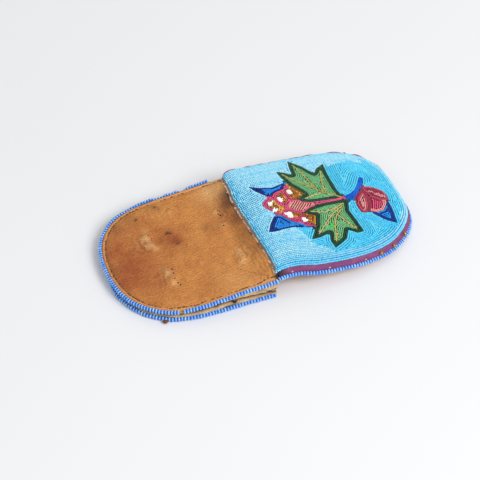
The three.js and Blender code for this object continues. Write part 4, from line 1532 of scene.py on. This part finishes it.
# %% [markdown]
# ## Ground
# The pale ground is sewn in lanes that follow the flap's rim and run straight to the fold. Around the
# leaves and the bud, beads of a deeper lot were sewn in lanes that follow the motif instead. One lane
# goes round the whole motif first. Last, single beads close the gaps where lanes meet, as a
# beadworker does.

# %% Ground
motif_depth = depth_of(MOTIF, 1)
rim_grid = rim_depth(grid_points).reshape(motif_depth.shape)
gaps = [distance_to(grid_points, closed(drawing[name][0])) for name in MOTIF]
far_from_motif = np.min(gaps, axis=0).reshape(motif_depth.shape)
off_motif = np.where(motif_depth > 0, -far_from_motif, far_from_motif)
is_deep = inside(grid_points, drawing["ground_deep"][:1]).reshape(motif_depth.shape)
tip_u, tip_v = grid_points.T.reshape(2, *motif_depth.shape)
is_deep |= (rim_grid > 2.2) & (tip_u > 103) & (tip_v > -20)
by_motif = is_deep & (off_motif < 0.9 * rim_grid)  # where the lanes follow the motif

FOLD_GAP, MOTIF_GAP = 0.7, 0.45  # from the cloth's nominal edge and from the motif to the nearest beads
MOTIF_LANE = 0.8  # from the motif to the middle of the first lane round it
MOTIF_LANES, FIELD_LANES = 30, 33  # most further lanes, round the motif and along the rim


def ground_lot(u, v):
    """Deep or pale, or nothing where the motif or the fold is."""
    if u < FOLD_GAP or at_grid(off_motif, u, v) < MOTIF_GAP or at_grid(between, u, v):
        return None
    return "deep_turquoise" if at_grid(is_deep, u, v) else "pale_turquoise"


for line in lanes_at(off_motif, MOTIF_LANE):
    sew_lane(line, ground_lot)
for lane in range(MOTIF_LANES):
    for line in lanes_at(off_motif, MOTIF_LANE + LANE * (lane + 1)):
        sew_lane(line, lambda u, v: ground_lot(u, v) if at_grid(by_motif, u, v) else None)
RIM_LANES = [-0.38, 0.37, 1.84]  # the first lanes lie on the rounded rim, so they are closer from above
for level in RIM_LANES + [RIM_LANES[-1] + LANE * lane for lane in range(1, FIELD_LANES + 1)]:
    room = 0.7 if level < 1 else ROOM
    for line in lanes_at(rim_grid, level):
        sew_lane(line, lambda u, v: None if at_grid(by_motif, u, v) else ground_lot(u, v), room=room)
print("ground:", {lot: len(sewn[lot]) for lot in ("pale_turquoise", "deep_turquoise")})

# %% Closing the gaps
GAP, BORDER_GAP = 0.98, 0.86  # the dark borders of the motif are sewn more closely
BORDER_LOTS = ("forest_green", "navy", "cobalt")
lot_of = [(lot, row) for lot, rows in sewn.items() for row in rows]
tree_of_beads = kdtree.KDTree(len(lot_of))
for i, (lot, row) in enumerate(lot_of):
    tree_of_beads.insert((row[0], row[1], 0), i)
tree_of_beads.balance()
slope_u, slope_v = np.gradient(np.where(by_motif, off_motif, rim_grid), GRID)


def is_ground(lot):
    """Whether beads of a lot are sewn outside the motif."""
    return lot.endswith("turquoise")


for u, v in grid_points:
    gap = tree_of_beads.find((u, v, 0))[2]
    if u < FOLD_GAP or at_grid(rim_grid, u, v) < 0.5 or gap < BORDER_GAP:
        continue
    near = [lot_of[index] for _, index, _ in tree_of_beads.find_n((u, v, 0), 8)]
    if at_grid(off_motif, u, v) < 0.1:
        near = [bead for bead in near if not is_ground(bead[0])] or near
    lot, row = near[0]
    least = BORDER_GAP if lot in BORDER_LOTS else GAP
    if gap <= least or (is_ground(lot) and at_grid(between, u, v)):
        continue
    way = np.array(row[2:4])
    if is_ground(lot):
        way = np.array((-at_grid(slope_v, u, v), at_grid(slope_u, u, v)))
        lot = ground_lot(u, v) or lot
    sew_bead(lot, u, v, unit(way), row[4], least)
print("beads that close gaps:", sum(len(rows) for rows in sewn.values()) - len(lot_of))

# %% [markdown]
# ## Beads onto the dome
# The places are so far flat, in millimetres along and across the flap. Each one is lifted to the dome,
# its thread is laid along the slope and it faces straight out of the surface. Then every lot is sewn
# by the node tree as one piece, which stands for the CAD fields of that colour.

# %% Beads onto the dome
BEAD_LIFT = CLOTH_TOP + 0.7


def on_dome(rows):
    """Flat bead places as points, thread directions, facing directions and shades."""
    rows = np.array(rows)
    flat, way, nudge = rows[:, :2], rows[:, 2:4], 0.15
    height = dome(flat)
    rise_u = (dome(flat + (nudge, 0)) - dome(flat - (nudge, 0))) / (2 * nudge)
    rise_v = (dome(flat + (0, nudge)) - dome(flat - (0, nudge))) / (2 * nudge)
    face = np.column_stack((-rise_u, -rise_v, np.ones(len(flat))))
    face /= np.linalg.norm(face, axis=1)[:, None]
    thread = np.column_stack((way, (way * np.column_stack((rise_u, rise_v))).sum(1)))
    thread /= np.linalg.norm(thread, axis=1)[:, None]
    points = np.column_stack((flat, height + BEAD_LIFT))
    points += 0.05 * rng.normal(size=points.shape)
    # painted shade: beads darker on the near rim and by the fold, where the beadwork rolls over; by the fold
    # also painted highlights and shade at random from bead to bead
    near_rim = smooth_step((9 - rim_depth(flat)) / 4) * smooth_step((-20 - flat[:, 1]) / 18)
    near_fold = smooth_step((7 - flat[:, 0]) / 5)
    speckle = 0.28 * near_fold * rng.normal(size=len(rows))
    shade = np.clip(rows[:, 4] + 0.06 - 0.3 * np.maximum(near_rim, near_fold) + speckle, 0, 1)
    return np.column_stack((on_flap(points), thread @ FLAP[1], face @ FLAP[1], shade))


STANDS_FOR = {
    "pale_turquoise": ["ground_pale"],
    "deep_turquoise": ["ground_deep"],
    "forest_green": ["upper_leaf_border", "lower_leaf_border"],
    "leaf_green": ["upper_leaf_blade", "lower_leaf_blade"],
    "cobalt": ["blue_stem"],
    "sky_blue": ["upper_sepal_fill", "lower_sepal_fill", "bud_sepal_fill"],
    "navy": ["upper_sepal_border", "lower_sepal_border", "bud_sepal_border"],
    "dark_red": ["bud_left_petal", "bud_right_petal"],
    "rose": ["bud_heart", "flower_filament"],
    "blush": ["flower_tube"],
    "brown": [f"flower_petal_{i}" for i in range(1, 6)],
}
for number, (lot, (slot, dark, light, width, length)) in enumerate(LOTS.items()):
    glass = bead_glass(lot + "_glass", dark, light)
    beads = sew(lot + "_beads", seed_bead_tree, on_dome(sewn[lot]), glass, length, width, seed=number)
    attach(beads, "flap")
    if lot in STANDS_FOR:
        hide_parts(*STANDS_FOR[lot])

# %% [markdown]
# ## Running stitch
# A dark thread runs round the back hide just inside the edging. Each stitch is a short thread that dips
# into the hide at both ends, so it is the bead tree's barrel again, long and thin, in a thread finish.

# %% Running stitch
# dark twisted linen, waxed: dull with a faint gleam
thread_finish = plain_finish("waxed_thread", 0.5, "#2b1b14", "#6a4a34", 0.7)
seam = pinched(u_rim(BACK_SIZE, HIDE_OUT - SEAM_INSET, start=3.0, step=STITCH_PITCH))
LOST_BY_WEAR, LOST_ELSEWHERE = 0.6, 0.08  # shares of the stitches on the worn far side and elsewhere
rows = []
for (s, t), way, height in zip(seam, along_u(seam)[0], back_top(seam) + 0.1):
    spot = np.array((s, t, height)) + 0.22 * rng.normal(size=3) * (1, 1, 0)
    if rng.uniform() < (LOST_BY_WEAR if t > 40 and 14 < s < 60 else LOST_ELSEWHERE):
        continue  # lost, or sunk into the hide
    rows.append((*placed(BACK, spot), *(np.array((*way, 0)) @ BACK[1]), *BACK[1][2], 0.5))
stitches = sew("running_stitch", seed_bead_tree, rows, thread_finish, length=1.7, width=0.75, spread=0.42)
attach(stitches, "pouch")

# %% [markdown]
# ## Stitch holes of lost belt loops
# Two belt loops were once sewn to the back. Only small dark holes in puckered hide are left. Each hole
# is a small dark disc sunk into the hide, painted shade for the dark inside of the hole.

# %% Stitch holes
HOLES = [
    (62.7, -14.5), (63.9, -23.6), (63.2, -28.0), (62.2, -30.6), (62.9, -18.5),
    (13.6, 24.0), (12.9, 22.4), (13.5, 19.2), (15.1, 8.3), (14.4, 21.0), (66.9, 21.9), (65.6, 19.9),
]
# painted shade: the dark inside of the pocket, seen through a needle hole
hole_finish = plain_finish("old_stitch_hole", 0.8, "#1d100a", "#3c2214", 1.0)
rows = [
    (*placed(BACK, (s, t, height - 0.02)), *BACK[1][2], *BACK[1][0], 0.5)
    for (s, t), height in zip(HOLES, back_top(np.array(HOLES)))
]
holes = sew("old_stitch_holes", edge_bead_tree, rows, hole_finish, length=0.25, width=1.15, spread=0.25)
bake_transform(holes)

# %% [markdown]
# ## Brass beads
# Four round brass beads are sewn to the binding near the tip. They are turned, so their profile is spun
# round the hole, with a rounded lip at each end.

# %% Brass beads
brass, tree = new_finish("old_brass")  # turned brass, dulled and browned by handling
tarnish = noise_of(tree, 1.4, Detail=4.0)
tone = mixed(tree, tarnish, "#6d5332", "#d9b56c")
close_finish(tree, tone, ranged(tree, tarnish, 0.3, 0.7, 0.5, 0.28), None, {"Metallic": 1.0})

PROFILE = [  # radius and place along the hole
    (0.3, -1.3), (0.7, -1.35), (1.2, -1.0), (1.5, -0.4), (1.5, 0.4), (1.2, 1.0), (0.7, 1.35), (0.3, 1.3),
]  # fmt: skip
SPIN = 20
size = len(PROFILE)
faces = []
for r in range(SPIN):
    here, ahead = r * size, (r + 1) % SPIN * size
    faces += [(here + k, here + (k + 1) % size, ahead + (k + 1) % size, ahead + k) for k in range(size)]
for i in range(1, 5):
    name = f"brass_bead_{i}"
    solid = cad_points(name)
    middle = solid.mean(0) * 0.5 + 0.5 * (solid.max(0) + solid.min(0)) / 2
    local = (middle - FLAP[0]) @ FLAP[1].T
    local += farness(local[1]) * np.array((-2.5, 0.2, 3.1))  # the far one is sewn over the top of the rim
    way = along_u(ribbon_path)[0][np.hypot(*(ribbon_path - local[:2]).T).argmin()]
    lane3, side3, up3 = np.array((*way, 0)), np.array((-way[1], way[0], 0)), np.array((0, 0, 1))
    spokes = [math.cos(a) * side3 + math.sin(a) * up3 for a in turns(SPIN)]
    sections = [[local + along * lane3 + radius * spoke for radius, along in PROFILE] for spoke in spokes]
    bead = new_piece(f"sewn_brass_bead_{i}", placed(FLAP, np.vstack(sections)), faces, brass)
    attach(bead, "flap")
    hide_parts(name)

# %% [markdown]
# ## Loose bits
# A tuft of the front hide sticks out under its edging, and a few knotted ends of thread show on the
# ribbon. The tuft is a small uneven bar, and the knots are the bead tree's barrel in undyed thread.

# %% Loose bits
TUFT = [(80.9, -49.6, 0.8), (81.1, -50.8, 1.6), (80.8, -52.0, 1.5), (81.0, -52.8, 0.6)]  # place, half width
TUFT_HEIGHT = 1.6
KNOTS = [(11.0, -52.6, 4.6), (37.9, -55.6, 4.4), (65.7, -54.9, 4.4)]
sections = [
    [(s + 1.1 * size * math.cos(a), t, TUFT_HEIGHT + 0.7 * size * math.sin(a)) for a in turns(ROLL_SIDES)]
    for s, t, size in TUFT
]
points, faces = band(sections)
marks = {"brown": np.full(len(points), 0.9), "stain_and_shade": np.full(len(points), 0.6)}
tuft = new_piece("hide_tuft", placed(FRONT, points), faces, smoked_hide, marks)
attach(tuft, "pouch")
rows = [(*placed(FLAP, spot), *FLAP[1][0], *-FLAP[1][1], 0.5) for spot in KNOTS]
knots = sew("thread_knots", seed_bead_tree, rows, raw_finish, length=1.2, width=1.3)
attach(knots, "flap")
